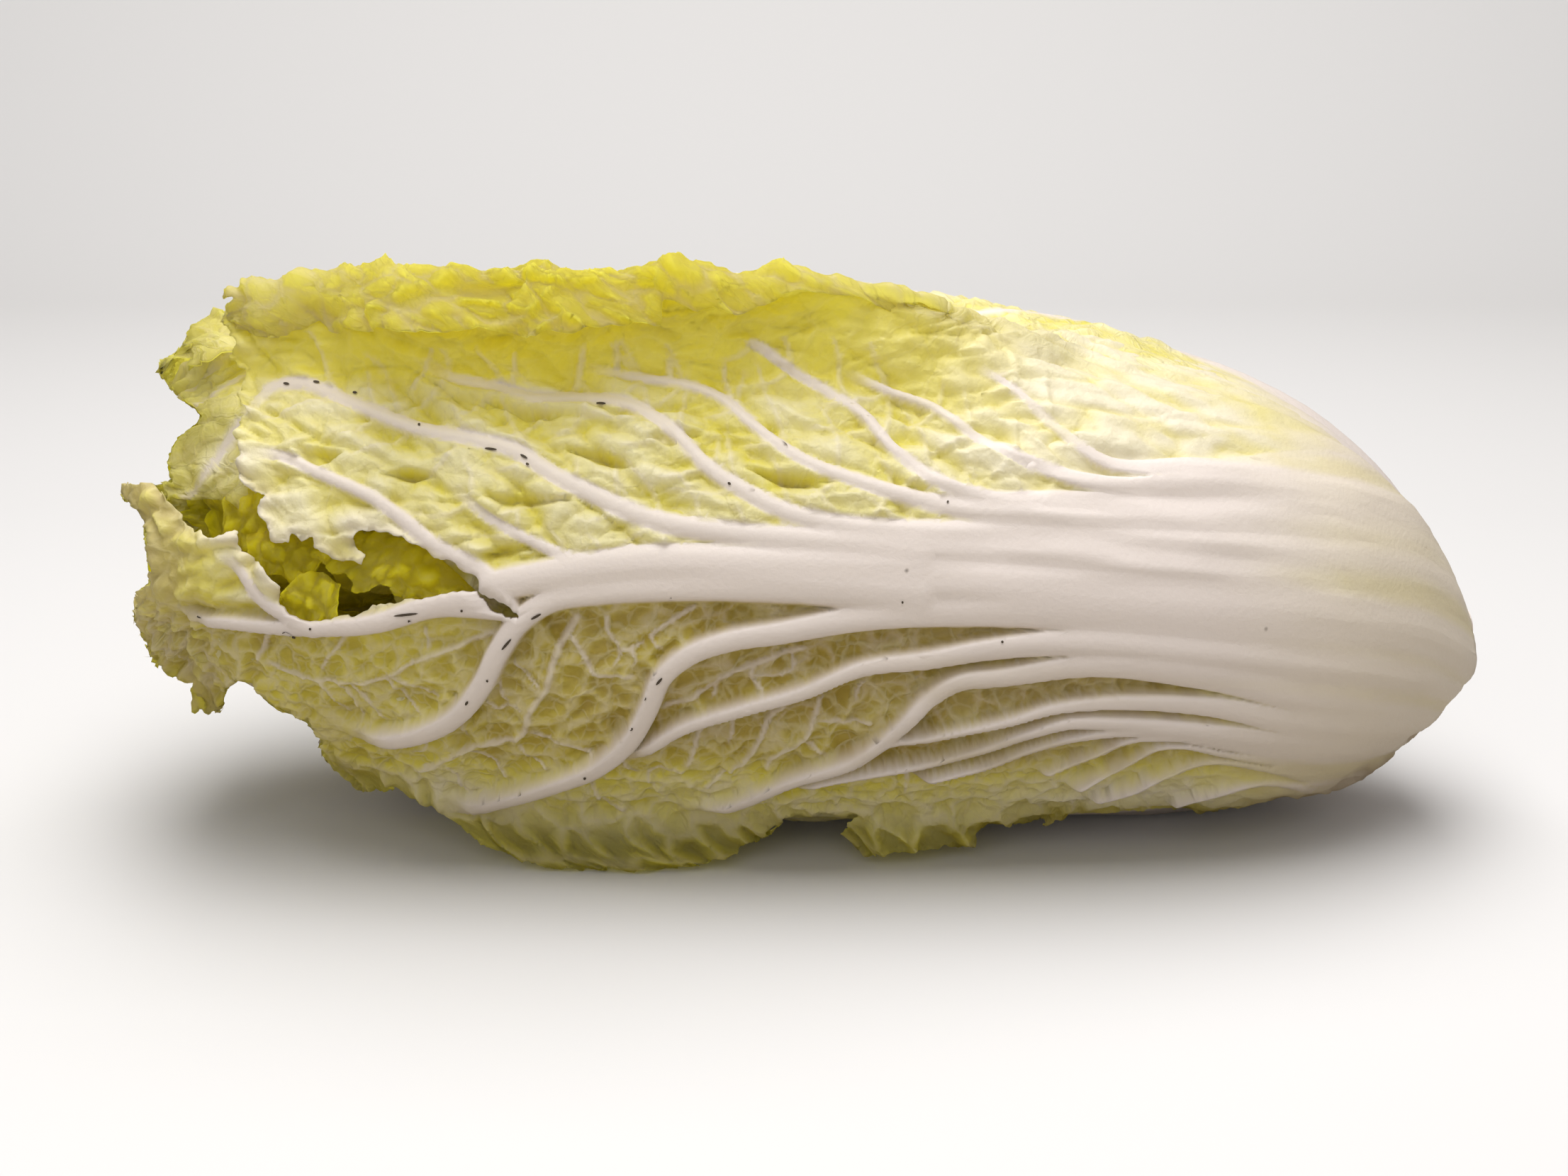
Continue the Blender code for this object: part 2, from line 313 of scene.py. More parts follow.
def softened(points, step=1.0, count=0):
    """A smooth curve through a few points, as that many points, or else as points about a step apart."""
    points = np.asarray(points, float)
    lengths = np.concatenate([[0], np.cumsum(np.linalg.norm(np.diff(points, axis=0), axis=1))])
    at = np.linspace(0, lengths[-1], count or max(3, int(lengths[-1] / step)))
    return np.stack([curve_through(at, lengths, points[:, side]) for side in range(points.shape[1])], -1)


def along_path(points, path):
    """How far each point is from a path, and how far along the path it is, from 0 to 1."""
    squares = (points**2).sum(1)[:, None] - 2 * points @ path.T + (path**2).sum(1)
    nearest = squares.argmin(1)
    best, place = np.full(len(points), np.inf), np.zeros(len(points))
    for shift in (-1, 0):
        first = np.clip(nearest + shift, 0, len(path) - 2)
        start, side = path[first], path[first + 1] - path[first]
        t = np.clip(((points - start) * side).sum(1) / np.maximum((side**2).sum(1), 1e-12), 0, 1)
        away = np.linalg.norm(points - start - t[:, None] * side, axis=1)
        place = np.where(away < best, (first + t) / (len(path) - 1), place)
        best = np.minimum(best, away)
    return best, place


VEIN_BLEND = 3.0  # how sharply one vein runs into another: higher is sharper
VEIN_REACH = 3.6  # how far a vein's foot reaches, in half-widths
VEIN_SHARE = 0.62  # of a vein's height, so that its round top and its foot add up to it


def vein_fields(points, veins):
    """How high the veins stand at each point, and how white they make it."""
    flat = points.reshape(-1, 3)
    raised, white = np.zeros(len(flat)), np.zeros(len(flat))
    for vein in veins:
        reach = vein.wide * (VEIN_REACH + vein.spread)
        low, high = vein.path.min(0) - reach, vein.path.max(0) + reach
        near = np.flatnonzero(((flat > low) & (flat < high)).all(1))
        away, place = along_path(flat[near], vein.path)
        half = vein.wide + (vein.narrow - vein.wide) * place**0.7
        height = vein.high + (vein.low - vein.high) * place**0.7
        length = np.linalg.norm(np.diff(vein.path, axis=0), axis=1).sum()
        ending = smooth((1 - place) * length / (5 * vein.wide))
        soft = np.clip(vein.spread * (1.5 * (1 - place) - 0.4), 0, 1)
        round_top = (0.70 - 0.35 * soft) * (1 - np.clip(away / (1.2 * half), 0, 1) ** 2.2)
        foot = (0.40 + 0.30 * soft) * np.exp(-((away / (1.9 * half)) ** 2))
        raised[near] += (VEIN_SHARE * ending * height * (round_top + foot)) ** VEIN_BLEND
        whitened = half * (1 + vein.spread * np.clip(1 - 1.4 * place, 0, 1))
        whiter = vein.strong * ending * smooth((1.3 - away / whitened) / 0.45)
        white[near] = np.maximum(white[near], whiter)
    return (raised ** (1 / VEIN_BLEND)).reshape(points.shape[:-1]), white.reshape(points.shape[:-1])


# ------------------------------------------------------------------ closed leaf meshes

def leaf_mesh(name, outer, inner, kept, attributes):
    """A closed leaf between two layers of one grid, made of the grid's kept squares."""
    rows, columns = outer.shape[:2]
    index = np.arange(rows * columns).reshape(rows, columns)
    quads = np.stack([index[:-1, :-1], index[:-1, 1:], index[1:, 1:], index[1:, :-1]], -1)[kept]
    sides = np.concatenate([quads[:, [k, (k + 1) % 4]] for k in range(4)])
    keys = sides.min(1) * rows * columns + sides.max(1)
    _, place, count = np.unique(keys, return_index=True, return_counts=True)
    rim = sides[place[count == 1]]
    total = rows * columns
    back = quads[:, ::-1] + total
    wall = np.stack([rim[:, 1], rim[:, 0], rim[:, 0] + total, rim[:, 1] + total], -1)
    faces = np.concatenate([quads, back, wall])
    used, faces = np.unique(faces, return_inverse=True)
    faces = faces.reshape(-1, 4)
    points = np.concatenate([outer.reshape(-1, 3), inner.reshape(-1, 3)])[used]
    mesh = bpy.data.meshes.new(name)
    mesh.vertices.add(len(points))
    mesh.vertices.foreach_set("co", points.ravel())
    mesh.loops.add(faces.size)
    mesh.loops.foreach_set("vertex_index", faces.ravel())
    mesh.polygons.add(len(faces))
    mesh.polygons.foreach_set("loop_start", np.arange(0, faces.size, 4))
    mesh.update(calc_edges=True)
    for key, values in attributes.items():
        values = np.concatenate([values.reshape(total, -1)] * 2)[used]
        kind = "FLOAT_VECTOR" if values.shape[1] == 3 else "FLOAT"
        data = mesh.attributes.new(key, kind, "POINT").data
        data.foreach_set("vector" if kind == "FLOAT_VECTOR" else "value", values.ravel())
    mesh.shade_smooth()
    return mesh


def leaf_piece(mesh, material, node=None):
    """An object for a leaf's mesh, in place of a CAD node or beside them."""
    mesh.materials.append(material)
    piece = placed(mesh.name, mesh)
    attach(piece, "root")
    if node:
        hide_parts(node)
    return piece


def thinned(piece, triangles):
    """Fewer triangles where the leaf is plain."""
    have = 2 * len(piece.data.polygons)
    if have > triangles:
        fewer = piece.modifiers.new("fewer", "DECIMATE")
        fewer.ratio = triangles / have


def middles(field):
    """A field's values in the middles of the grid's squares."""
    return (field[:-1, :-1] + field[1:, :-1] + field[:-1, 1:] + field[1:, 1:]) / 4

def snapped(values, field, kept):
    """Moves the grid's points on the rim of the kept squares onto the line where the field is zero."""
    inside = np.zeros(field.shape, int)
    outside = np.zeros(field.shape, int)
    for di in (0, 1):
        for dj in (0, 1):
            window = (slice(di, field.shape[0] - 1 + di), slice(dj, field.shape[1] - 1 + dj))
            inside[window] += kept
            outside[window] += ~kept
    rim = (inside > 0) & (outside > 0)
    slope_i, slope_j = np.gradient(field)
    steep = np.maximum(slope_i**2 + slope_j**2, 1e-14)
    move_i = np.clip(-field * slope_i / steep, -1, 1) * rim
    move_j = np.clip(-field * slope_j / steep, -1, 1) * rim
    moved = []
    for value in values:
        grad_i, grad_j = (np.gradient(value, axis=axis) for axis in (0, 1))
        if value.ndim == 3:
            moved.append(value + grad_i * move_i[..., None] + grad_j * move_j[..., None])
        else:
            moved.append(value + grad_i * move_i + grad_j * move_j)
    return moved


def finished_leaf(name, node, layers, field, attributes, material, triangles):
    """A piece made of two layers where the field is above 0. Returns the outer layer as it ends up."""
    kept = middles(field) > 0
    outer, inner, *values = snapped([*layers, *attributes.values()], field, kept)
    mesh = leaf_mesh(name, outer, inner, kept, dict(zip(attributes, values)))
    thinned(leaf_piece(mesh, material, node), triangles)
    return outer


# ------------------------------------------------------------------ the surface between the veins

def folds(u, v, lean, long, short, seed):
    """Soft swellings from 0 to 1 with sharp valleys between, drawn out at a slant to the midrib."""
    side = np.abs(v)
    a = (u * math.cos(lean) + side * math.sin(lean)) / long
    b = (side * math.cos(lean) - u * math.sin(lean)) / short + 7 * (v > 0)
    warp = 0.5 * noise(a, b, 0.9, seed)
    swelling = np.abs(noise(a + warp, b + warp, 1.0, seed + 1))
    return np.clip(1.5 * swelling, 0, 1) ** 0.7


def net_of(u, v, size, line, seed):
    """A net of fine veins: how near a vein each place is, from 0 to 1, and how far into its mesh."""
    warp = 0.22 * size
    u = u + warp * noise(u, v, 0.8 * size, seed) + 0.4 * warp * noise(u, v, 0.35 * size, seed + 1)
    v = v + warp * noise(u, v, 0.8 * size, seed + 2) + 0.4 * warp * noise(u, v, 0.35 * size, seed + 3)
    wall, which = cells(u, v, size, seed + 4)
    return np.exp(-((wall * size / line) ** 2)), smooth(wall / 0.3) * (0.6 + 0.8 * which)


def knobs_of(u, v, size, line, seed):
    """Knobs between the lines of a net, from 0 to 1."""
    return 1 - net_of(u, v, size, line, seed)[0]


def petiole_share(x):
    """Where a leaf is all petiole, towards its base."""
    return smooth((x - 0.072) / 0.050)


# ------------------------------------------------------------------ materials

VEIN_WHITE = (0.775, 0.70, 0.655)
# A leaf's flesh: its colour where it lies deepest, between, and where it swells most, its rim's colour, the
# colour of the light that comes through it, and how much comes through. The deepest colour is in part painted
# shade, and the colour of the swellings is in part painted light.
Flesh = namedtuple("Flesh", "deep middle pale rim glow through")
OUTER_FLESH = Flesh(
    (0.43, 0.30, 0.035), (0.85, 0.76, 0.08), (0.97, 0.92, 0.68), (0.76, 0.71, 0.34), (0.93, 0.90, 0.32), 0.42,
)
INNER_FLESH = Flesh(
    (0.74, 0.60, 0.03), (0.92, 0.83, 0.12), (0.95, 0.90, 0.45), (0.86, 0.79, 0.14), (0.97, 0.93, 0.10), 0.58,
)
MOTTLE_COLOUR, NET_COLOUR, DARK_SPECK = (1.0, 0.95, 0.60), (0.80, 0.72, 0.46), (0.05, 0.035, 0.02)
CUT_BROWN = (0.50, 0.34, 0.16)
PATCHES, GRAIN, MOTTLE = (60.0, 3.0), (900.0, 2.0), (260.0, 4.0)  # scale and detail of three clouds of noise
NET_WARPS = ((120.0, 0.0050), (420.0, 0.0010))  # scale and size of what bends the net of fine veins
COARSE_NET, FINE_NET = (115.0, 0.00042), (290.0, 0.00024)  # meshes a metre and half-width of the lines
COARSE_SHOWS, FINE_SHOWS = 0.48, 0.34
SPECKS = 95.0  # places for a speck in a metre, of which about one in seven has one
SPECK_SIZE, SPECK_CHANCE = 0.055, (0.86, 0.87)


class Shading:
    """Short ways to build one material's nodes."""

    def __init__(self, name):
        self.material = bpy.data.materials.new(name)
        self.material.use_nodes = True
        self.nodes, self.links = self.material.node_tree.nodes, self.material.node_tree.links
        self.nodes.clear()

    def fill(self, socket, value):
        if isinstance(value, bpy.types.NodeSocket):
            self.links.new(value, socket)
        elif isinstance(value, tuple) and len(value) == 3 and socket.type == "RGBA":
            socket.default_value = (*value, 1)
        else:
            socket.default_value = value

    def node(self, kind, settings=(), **inputs):
        made = self.nodes.new(kind)
        for key, value in dict(settings).items():
            setattr(made, key, value)
        for key, value in inputs.items():
            self.fill(made.inputs[key.replace("_", " ")], value)
        return made

    def attribute(self, key):
        return self.node("ShaderNodeAttribute", {"attribute_name": key}).outputs["Fac"]

    def mixed(self, factor, first, second):
        made = self.node("ShaderNodeMix", {"data_type": "RGBA"})
        for place, value in ((0, factor), (6, first), (7, second)):
            self.fill(made.inputs[place], value)
        return made.outputs[2]

    def sums(self, operation, *values):
        made = self.node("ShaderNodeMath", {"operation": operation})
        for socket, value in zip(made.inputs, values):
            self.fill(socket, value)
        return made.outputs[0]

    def ranged(self, value, low, high, to_low=0.0, to_high=1.0, kind="LINEAR"):
        made = self.node(
            "ShaderNodeMapRange", {"interpolation_type": kind},
            Value=value, From_Min=low, From_Max=high, To_Min=to_low, To_Max=to_high,
        )
        return made.outputs[0]


def net_lines(shading, place, scale, half_width):
    """A net of lines on flat coordinates: 1 on a line, and 0 between."""
    net = shading.node("ShaderNodeTexVoronoi", {"feature": "DISTANCE_TO_EDGE"}, Vector=place, Scale=scale)
    away, half = net.outputs["Distance"], half_width * scale
    return shading.ranged(away, 0.2 * half, 1.6 * half, 1.0, 0.0, "SMOOTHSTEP")


def clouds(shading, place, scale, detail):
    return shading.node("ShaderNodeTexNoise", Vector=place, Scale=scale, Detail=detail).outputs


def bent_place(shading, flat):
    """Flat coordinates shifted about, so that a net drawn on them has no straight lines."""
    place = flat
    for scale, size in NET_WARPS:
        bent = shading.node("ShaderNodeVectorMath", {"operation": "MULTIPLY_ADD"})
        shift = clouds(shading, flat, scale, 2.0)["Color"]
        for socket, value in zip(bent.inputs, (shift, (size, size, size), place)):
            shading.fill(socket, value)
        place = bent.outputs[0]
    return place


def flesh_colour(shading, flesh, patches, mottle):
    mixed, ranged, light = shading.mixed, shading.ranged, shading.attribute("light")
    # The "light" attribute runs from the deep flesh colour to the pale one: painted shade towards 0 and
    # painted light towards 1.
    colour = mixed(ranged(light, 0.0, 0.5), flesh.deep, flesh.middle)
    colour = mixed(ranged(light, 0.5, 1.0), colour, flesh.pale)
    colour = mixed(ranged(patches, 0.4, 0.75, 0.0, 0.25), colour, flesh.rim)
    colour = mixed(shading.attribute("edge"), colour, flesh.rim)
    return mixed(ranged(mottle, 0.3, 0.7, 0.0, 0.08), colour, MOTTLE_COLOUR)


def speckled(shading, flat, colour):
    """The colour with a few small dark specks."""
    specks = shading.node("ShaderNodeTexVoronoi", Vector=flat, Scale=SPECKS)
    chance = shading.node("ShaderNodeSeparateColor", Color=specks.outputs["Color"]).outputs[0]
    inside = shading.ranged(specks.outputs["Distance"], 0.0, SPECK_SIZE, 1.0, 0.0)
    there = shading.ranged(chance, *SPECK_CHANCE, 0.0, 0.85)
    return shading.mixed(shading.sums("MULTIPLY", inside, there), colour, DARK_SPECK)


def make_leaf_material(name, flesh):
    """Leaf tissue, coloured by the leaf's attributes and a net of fine veins, and lit through where thin."""
    shading = Shading(name)
    mixed, ranged, sums, node = shading.mixed, shading.ranged, shading.sums, shading.node
    flat = node("ShaderNodeAttribute", {"attribute_name": "flat"}).outputs["Vector"]
    patches, grain, mottle = (clouds(shading, flat, *sizes)["Fac"] for sizes in (PATCHES, GRAIN, MOTTLE))
    place = bent_place(shading, flat)
    coarse, fine = (net_lines(shading, place, *sizes) for sizes in (COARSE_NET, FINE_NET))
    whiteness = shading.attribute("white")
    net = sums("MULTIPLY", shading.attribute("net"), ranged(whiteness, 0.0, 0.7, 1.0, 0.0))

    colour = flesh_colour(shading, flesh, patches, mottle)
    for lines, shows in ((fine, FINE_SHOWS), (coarse, COARSE_SHOWS)):
        colour = mixed(sums("MULTIPLY", sums("MULTIPLY", lines, net), shows), colour, NET_COLOUR)
    colour = speckled(shading, flat, mixed(whiteness, colour, VEIN_WHITE))

    lines = sums("MULTIPLY_ADD", fine, 0.35, coarse)
    height = sums("MULTIPLY_ADD", mottle, 0.5, grain)
    height = sums("MULTIPLY_ADD", sums("MULTIPLY", lines, net), 1.3, height)
    height = sums("MULTIPLY", height, ranged(whiteness, 0.0, 1.0, 1.0, 0.45))
    bump = node("ShaderNodeBump", Strength=0.45, Distance=0.0004, Height=height).outputs[0]

    front = node(
        "ShaderNodeBsdfPrincipled", Base_Color=colour, IOR=1.40, Coat_Weight=0.08, Coat_Roughness=0.25,
        Roughness=ranged(grain, 0.3, 0.7, 0.34, 0.55), Normal=bump,
    )
    behind = node("ShaderNodeBsdfTranslucent", Color=mixed(whiteness, flesh.glow, VEIN_WHITE), Normal=bump)
    passed = ranged(whiteness, 0.0, 1.0, flesh.through, 0.5 * flesh.through)
    both = node("ShaderNodeMixShader", Fac=sums("MULTIPLY_ADD", shading.attribute("thin"), 0.5, passed))
    shading.fill(both.inputs[1], front.outputs[0])
    shading.fill(both.inputs[2], behind.outputs[0])
    node("ShaderNodeOutputMaterial", Surface=both.outputs[0])
    return shading.material


# ------------------------------------------------------------------ the front leaf

FRONT_GRID = (600, 330)
FRONT_TRIANGLES = 196_000
NOMINAL_RADIUS = 0.062  # turns lengths round the head into angles
FRONT_LOW, FRONT_HIGH = -3 * COLUMN, 3 * COLUMN
FRONT_TIP = -0.1475
LIP_STRAIGHT_FROM, LIP_STRAIGHT_TO, LIP_ARC, LIP_END = 0.008, 0.022, 0.013, 0.049
LIP_FIRST_TURN, LIP_SECOND_TURN = math.radians(45), math.radians(150)
# How much of the lip's curl and of the hem's flare there is along X, and how much shorter the lip is cut.
LIP_ALONG = (
    (-0.130, 0.4), (-0.100, 0.75), (-0.065, 1.0), (-0.025, 1.0), (0.015, 0.7), (0.050, 0.1), (0.146, 0.0),
)
LIP_CUT = (
    (-0.130, 0.006), (-0.115, 0.003), (-0.070, 0.001), (-0.0275, 0.003), (-0.0265, 0.0085), (-0.010, 0.008),
    (0.012, 0.011), (0.040, 0.004), (0.146, 0.004),
)
HEM_END, HEM_TURN_END, HEM_TURN = 0.019, 0.010, math.radians(52)
HEM_ALONG = (
    (-0.140, 0.8), (-0.124, 0.7), (-0.117, 0.0), (-0.105, 0.0), (-0.085, 0.5), (-0.070, 0.95), (-0.025, 1.0),
    (-0.008, 0.75), (0.000, 0.0), (0.009, 0.1), (0.014, 0.65), (0.036, 0.6), (0.046, 0.05), (0.146, 0.0),
)
LIP_COLUMNS, BASE_COLUMNS = 2.7, 4.4  # how far round the lip lies where it lies flat, and at the base
BASE_REACH_FROM = 0.045
HEM_COLUMNS, TIP_COLUMNS, BUTT_COLUMNS = 1.2, 2.2, 3.0  # the same for the hem in the middle and at its ends
PETIOLE_HEIGHT = 0.0024

# The front leaf's veins as the camera sees them, in millimetres across and up from the middle of the view:
# points from the root on, half-width at each end, height at each end, and how far the white spreads at the
# root.
FRONT_VEINS_MM = (
    (((151, -9), (139, -6), (93, -3), (46, 1), (-1, 4), (-32, 5), (-56, 2), (-66, 0), (-90, -6)),
     4.2, 3.0, 2.9, 2.6, 0.7),
    (((-62, -4), (-77, -4), (-91, -8), (-105, -9), (-121, -8), (-134, -6), (-140, -4)),
     3.0, 1.1, 2.6, 1.0, 0.0),
    (((-104, -9), (-115, -3), (-121, 5), (-126, 11)), 2.0, 1.0, 1.8, 0.8, 0.0),
    (((148, 5), (138, 19), (124, 25), (93, 26), (70, 28), (59, 36), (49, 45), (39, 50)),
     2.6, 0.8, 1.7, 0.6, 1.3),
    (((149, 3), (140, 15), (124, 20), (93, 22), (74, 22), (55, 27), (43, 33), (33, 40), (22, 44), (12, 49)),
     2.6, 0.8, 2.0, 0.8, 1.3),
    (((150, 0), (141, 11), (124, 16), (93, 17), (61, 19), (43, 20), (33, 24), (22, 33), (18, 38), (10, 43),
      (2, 47.5), (-5, 53), (-14, 57)), 2.6, 0.9, 2.2, 0.9, 1.2),
    (((151, -3), (142, 7), (124, 12), (93, 14), (61, 15), (32, 19), (18, 23), (3, 29), (-7, 36), (-14, 42),
      (-20, 44.5), (-29, 46), (-37, 47), (-46, 49)), 2.8, 0.9, 2.5, 1.0, 1.1),
    (((151, -6), (142, 2), (124, 7), (93, 9), (46, 12), (12, 14), (0, 17), (-8, 21), (-16, 26), (-25, 35),
      (-33, 40), (-47, 42), (-56, 42), (-62, 44), (-75, 47), (-82, 52)), 3.0, 1.1, 2.7, 1.1, 1.0),
    (((152, -8), (142, -2), (124, 2), (93, 5), (46, 8), (15, 10), (-11, 12), (-32, 16), (-41, 20), (-51, 25),
      (-59, 30), (-70, 33), (-80, 35), (-96, 41), (-108, 45), (-113, 44), (-118, 39), (-121, 34)),
     3.3, 1.3, 2.9, 1.2, 0.9),
    (((30, 6), (-1, 7), (-32, 8), (-48, 7), (-55, 10), (-66, 16), (-76, 25)), 2.8, 0.8, 2.0, 0.8, 0.0),
    (((-66, 3), (-69, 5), (-78, 10), (-84, 15), (-91, 20), (-102, 25), (-111, 29), (-120, 30)),
     1.9, 1.0, 1.8, 1.0, 0.0),
    (((30, -2), (-1, 0), (-26, 0), (-41, -1), (-52, -3), (-58, -7), (-63, -14), (-67, -22), (-73, -29),
      (-82, -33), (-91, -34), (-102, -33)), 3.0, 2.0, 2.6, 1.8, 0.2),
    (((152, -12), (142, -13), (124, -12), (93, -8), (46, -5), (15, -7), (-1, -10), (-13, -12), (-21, -15),
      (-27, -20), (-30, -27), (-34, -34), (-41, -40), (-51, -44), (-61, -47), (-72, -49), (-80, -47)),
     3.2, 1.8, 2.9, 1.5, 0.9),
    (((151, -15), (142, -18), (124, -18), (93, -14), (61, -12), (43, -14), (32, -16), (17, -18), (5, -23),
      (-9, -27), (-24, -32), (-32, -37), (-41, -41)), 3.0, 1.3, 2.7, 1.2, 1.0),
    (((151, -18), (142, -23), (124, -24), (93, -19), (69, -17), (47, -20), (39, -21), (32, -25), (26, -31),
      (17, -38), (2, -43), (-13, -49), (-24, -51)), 2.8, 1.3, 2.4, 1.1, 1.0),
    (((150, -20), (141, -28), (124, -30), (93, -26), (71, -25.5), (58.5, -27), (50.8, -29.3), (42, -31.5),
      (33, -33.5), (22, -35), (12, -39)), 2.3, 0.7, 1.5, 0.6, 1.1),
    (((149, -22), (139, -31), (124, -34), (97, -32), (74, -30), (62.4, -30), (54.7, -32.4), (43.1, -36.5),
      (30, -39.7), (18.8, -41.5), (9.7, -43.3), (-2, -46.5)), 2.1, 0.6, 1.4, 0.5, 1.1),
    (((148, -24), (138, -34), (124, -38), (108, -34.5), (97, -33), (81.7, -31.5), (70, -32.4), (62.4, -34),
      (54.7, -36.2), (47, -39.3), (35.4, -42), (26, -44)), 1.6, 0.6, 1.0, 0.5, 1.1),
    (((124, -39), (108, -36), (97, -34.5), (85.5, -33), (76.3, -34), (70, -37), (62.4, -40), (54.7, -43)),
     1.1, 0.6, 0.6, 0.4, 0.9),
    (((120, -41), (108, -38), (97, -36.5), (87.8, -35), (81.7, -36), (77.8, -38.5), (70, -42.4), (62, -46)),
     1.0, 0.5, 0.6, 0.4, 0.8),
    (((120, -42), (106, -39.5), (93.2, -38.7), (85.5, -41.6), (77.8, -44.7), (66.2, -48.5)),
     0.9, 0.5, 0.55, 0.3, 0.6),
    (((118, -43), (106, -42.5), (97, -44.5), (84, -49)), 0.8, 0.5, 0.5, 0.3, 0.5),
)
# Smaller veins, drawn the same way, each with its half-width at the root.
SMALL_VEINS_MM = (
    (((-116, -11.5), (-117.2, -14), (-118, -17), (-119.5, -20)), 0.65),
    (((-98, -11.5), (-100.5, -15), (-103, -18), (-104.5, -21.5)), 0.50),
    (((-61, -9), (-66, -11), (-73, -14), (-79, -16.3), (-83, -18), (-88, -21), (-94, -23), (-100, -22.5),
      (-105.5, -22), (-112, -20.5), (-118, -18)), 0.60),
    (((-80, -10), (-79.5, -14), (-79.5, -16.5)), 0.45),
    (((-104, -22.5), (-101.5, -26), (-99, -29.5), (-97, -31)), 0.40),
    (((-99.5, -23), (-97, -26), (-95.5, -29), (-94.5, -32)), 0.40),
    (((-97, -23.5), (-93.5, -27), (-90, -30.5), (-88, -32)), 0.42),
    (((-88, -21.5), (-82, -24), (-76, -27)), 0.42),
    (((-89, -22), (-86, -25), (-82.5, -28.5), (-80, -30.5)), 0.40),
    (((-46, -7), (-47.5, -9.5), (-49.5, -13), (-51.5, -18), (-53, -24), (-57, -30), (-58, -34), (-63, -36),
      (-68, -36.8), (-73, -39), (-78, -41.3), (-84, -43)), 0.80),
    (((-42, -39), (-46, -37.5), (-52, -35.5), (-58, -34)), 0.50),
    (((-73, -31), (-72, -33), (-70.5, -36.5)), 0.42),
    (((-82, -33), (-80, -37.5), (-84, -39.5)), 0.42),
    (((-62, -44.5), (-66, -40.5), (-72, -39)), 0.42),
    (((-53, -42), (-56, -40), (-60, -36.5)), 0.40),
    (((-71.5, -47), (-73, -44), (-76, -41)), 0.40),
    (((-64, -20.5), (-63, -25), (-61, -28)), 0.40),
    (((-60, -18), (-56, -22), (-53.5, -25)), 0.42),
    (((-66, -27), (-64, -29), (-61, -27.5), (-57.5, -30)), 0.38),
    (((-47, -12), (-44.2, -16.7), (-41.8, -20.9), (-37, -20.9), (-31.5, -21.5)), 0.55),
    (((-39.4, -7), (-39.4, -10), (-37.9, -12.4), (-36.4, -14.8), (-38.5, -19.7)), 0.42),
    (((-36.4, -14.8), (-34.2, -14.5), (-30.3, -12.4)), 0.38),
    (((-34.2, -14.5), (-33, -16.4), (-33.3, -20)), 0.38),
    (((-20, -4.8), (-23.6, -7), (-27, -9.4), (-29.7, -11.8), (-27.3, -14.2), (-25.5, -15.5)), 0.55),
    (((4.2, -14.5), (-0.6, -16), (-5.5, -17.9), (-11.5, -20.3), (-15.2, -22.7), (-20, -25.8), (-24.8, -27.6),
      (-29, -28.8)), 0.70),
    (((-6, -17.9), (-7.3, -20.3), (-5.5, -23.3), (-2.4, -24.8)), 0.50),
    (((-12, -20.3), (-14.8, -22.1), (-15.2, -24.5), (-16.4, -27)), 0.42),
    (((1.8, -15.5), (2.1, -19), (0, -20.3), (-9, -21.2)), 0.38),
    (((0, -27.9), (-3, -31.2), (-5.5, -36), (-8.5, -40.3), (-13.9, -43.9), (-18.8, -47.6)), 0.65),
    (((8.2, -26.4), (6.7, -30.6), (4.5, -35.5), (0.6, -37.9), (-3, -40.3), (-4.2, -43.9)), 0.60),
    (((4.5, -35.8), (7.3, -37.9), (10.3, -39.7)), 0.42),
    (((-14.8, -30.9), (-18.8, -33.6), (-20, -37.9), (-22.4, -42.7)), 0.60),
    (((-11.5, -30.6), (-11.5, -34.2), (-12.7, -37.9)), 0.40),
    (((19.4, -31.8), (10.3, -31.2), (6.7, -31.5)), 0.40),
    (((17.6, -22.4), (16.4, -24.5), (16, -27.6)), 0.42),
    (((-36.4, -39.7), (-33.9, -42.7), (-31.5, -43.9)), 0.42),
    (((-43, -42.7), (-42.7, -46.4), (-38.8, -50.6), (-34, -51.2)), 0.50),
    (((-22.4, -42.7), (-27.9, -42.1), (-30.3, -43.9), (-27.9, -47.6)), 0.40),
    (((30.3, -40.3), (27.9, -43.9), (27, -49)), 0.42),
    (((-47, 42.5), (-45.5, 46), (-44.8, 50), (-44.5, 55)), 0.85),
    (((-37, 46.5), (-36.6, 49), (-36.5, 55)), 0.75),
    (((-25, 45.5), (-25.4, 48), (-25.5, 54)), 0.75),
    (((-60, 43.5), (-59, 48), (-59, 55)), 0.65),
    (((-82, 44), (-79, 48), (-78, 54)), 0.60),
    (((-7, 36.5), (-11, 41), (-13, 46), (-13, 52)), 0.60),
)
MIDRIB_MM = ((-134, -6), (-105, -9), (-77, -4), (-66, 1), (-32, 5), (-1, 4), (46, 1), (93, -3), (139, -6))
# Below each rib the blade sinks a little and is painted darker, as painted shade.
SHADE_DROP, SHADE_WIDE = 0.0045, 0.0050  # the blade sinks below each rib
BRANCH_STEP, BRANCH_TURN = 11.0, math.radians(50)
BRANCHED = range(2, 10)  # the ribs above the midrib, which carry branches that aren't drawn
BRANCH_LEFT_END, BRANCH_RIGHT_END = -108.0, 62.0
BRANCH_MM, BRANCH_STRONG = (0.70, 0.35, 1.2, 0.4), 0.7  # half-widths, heights and whiteness of a branch

FLECK_LIFT, FLECK_HALF_WIDTH = 0.00025, 0.00030

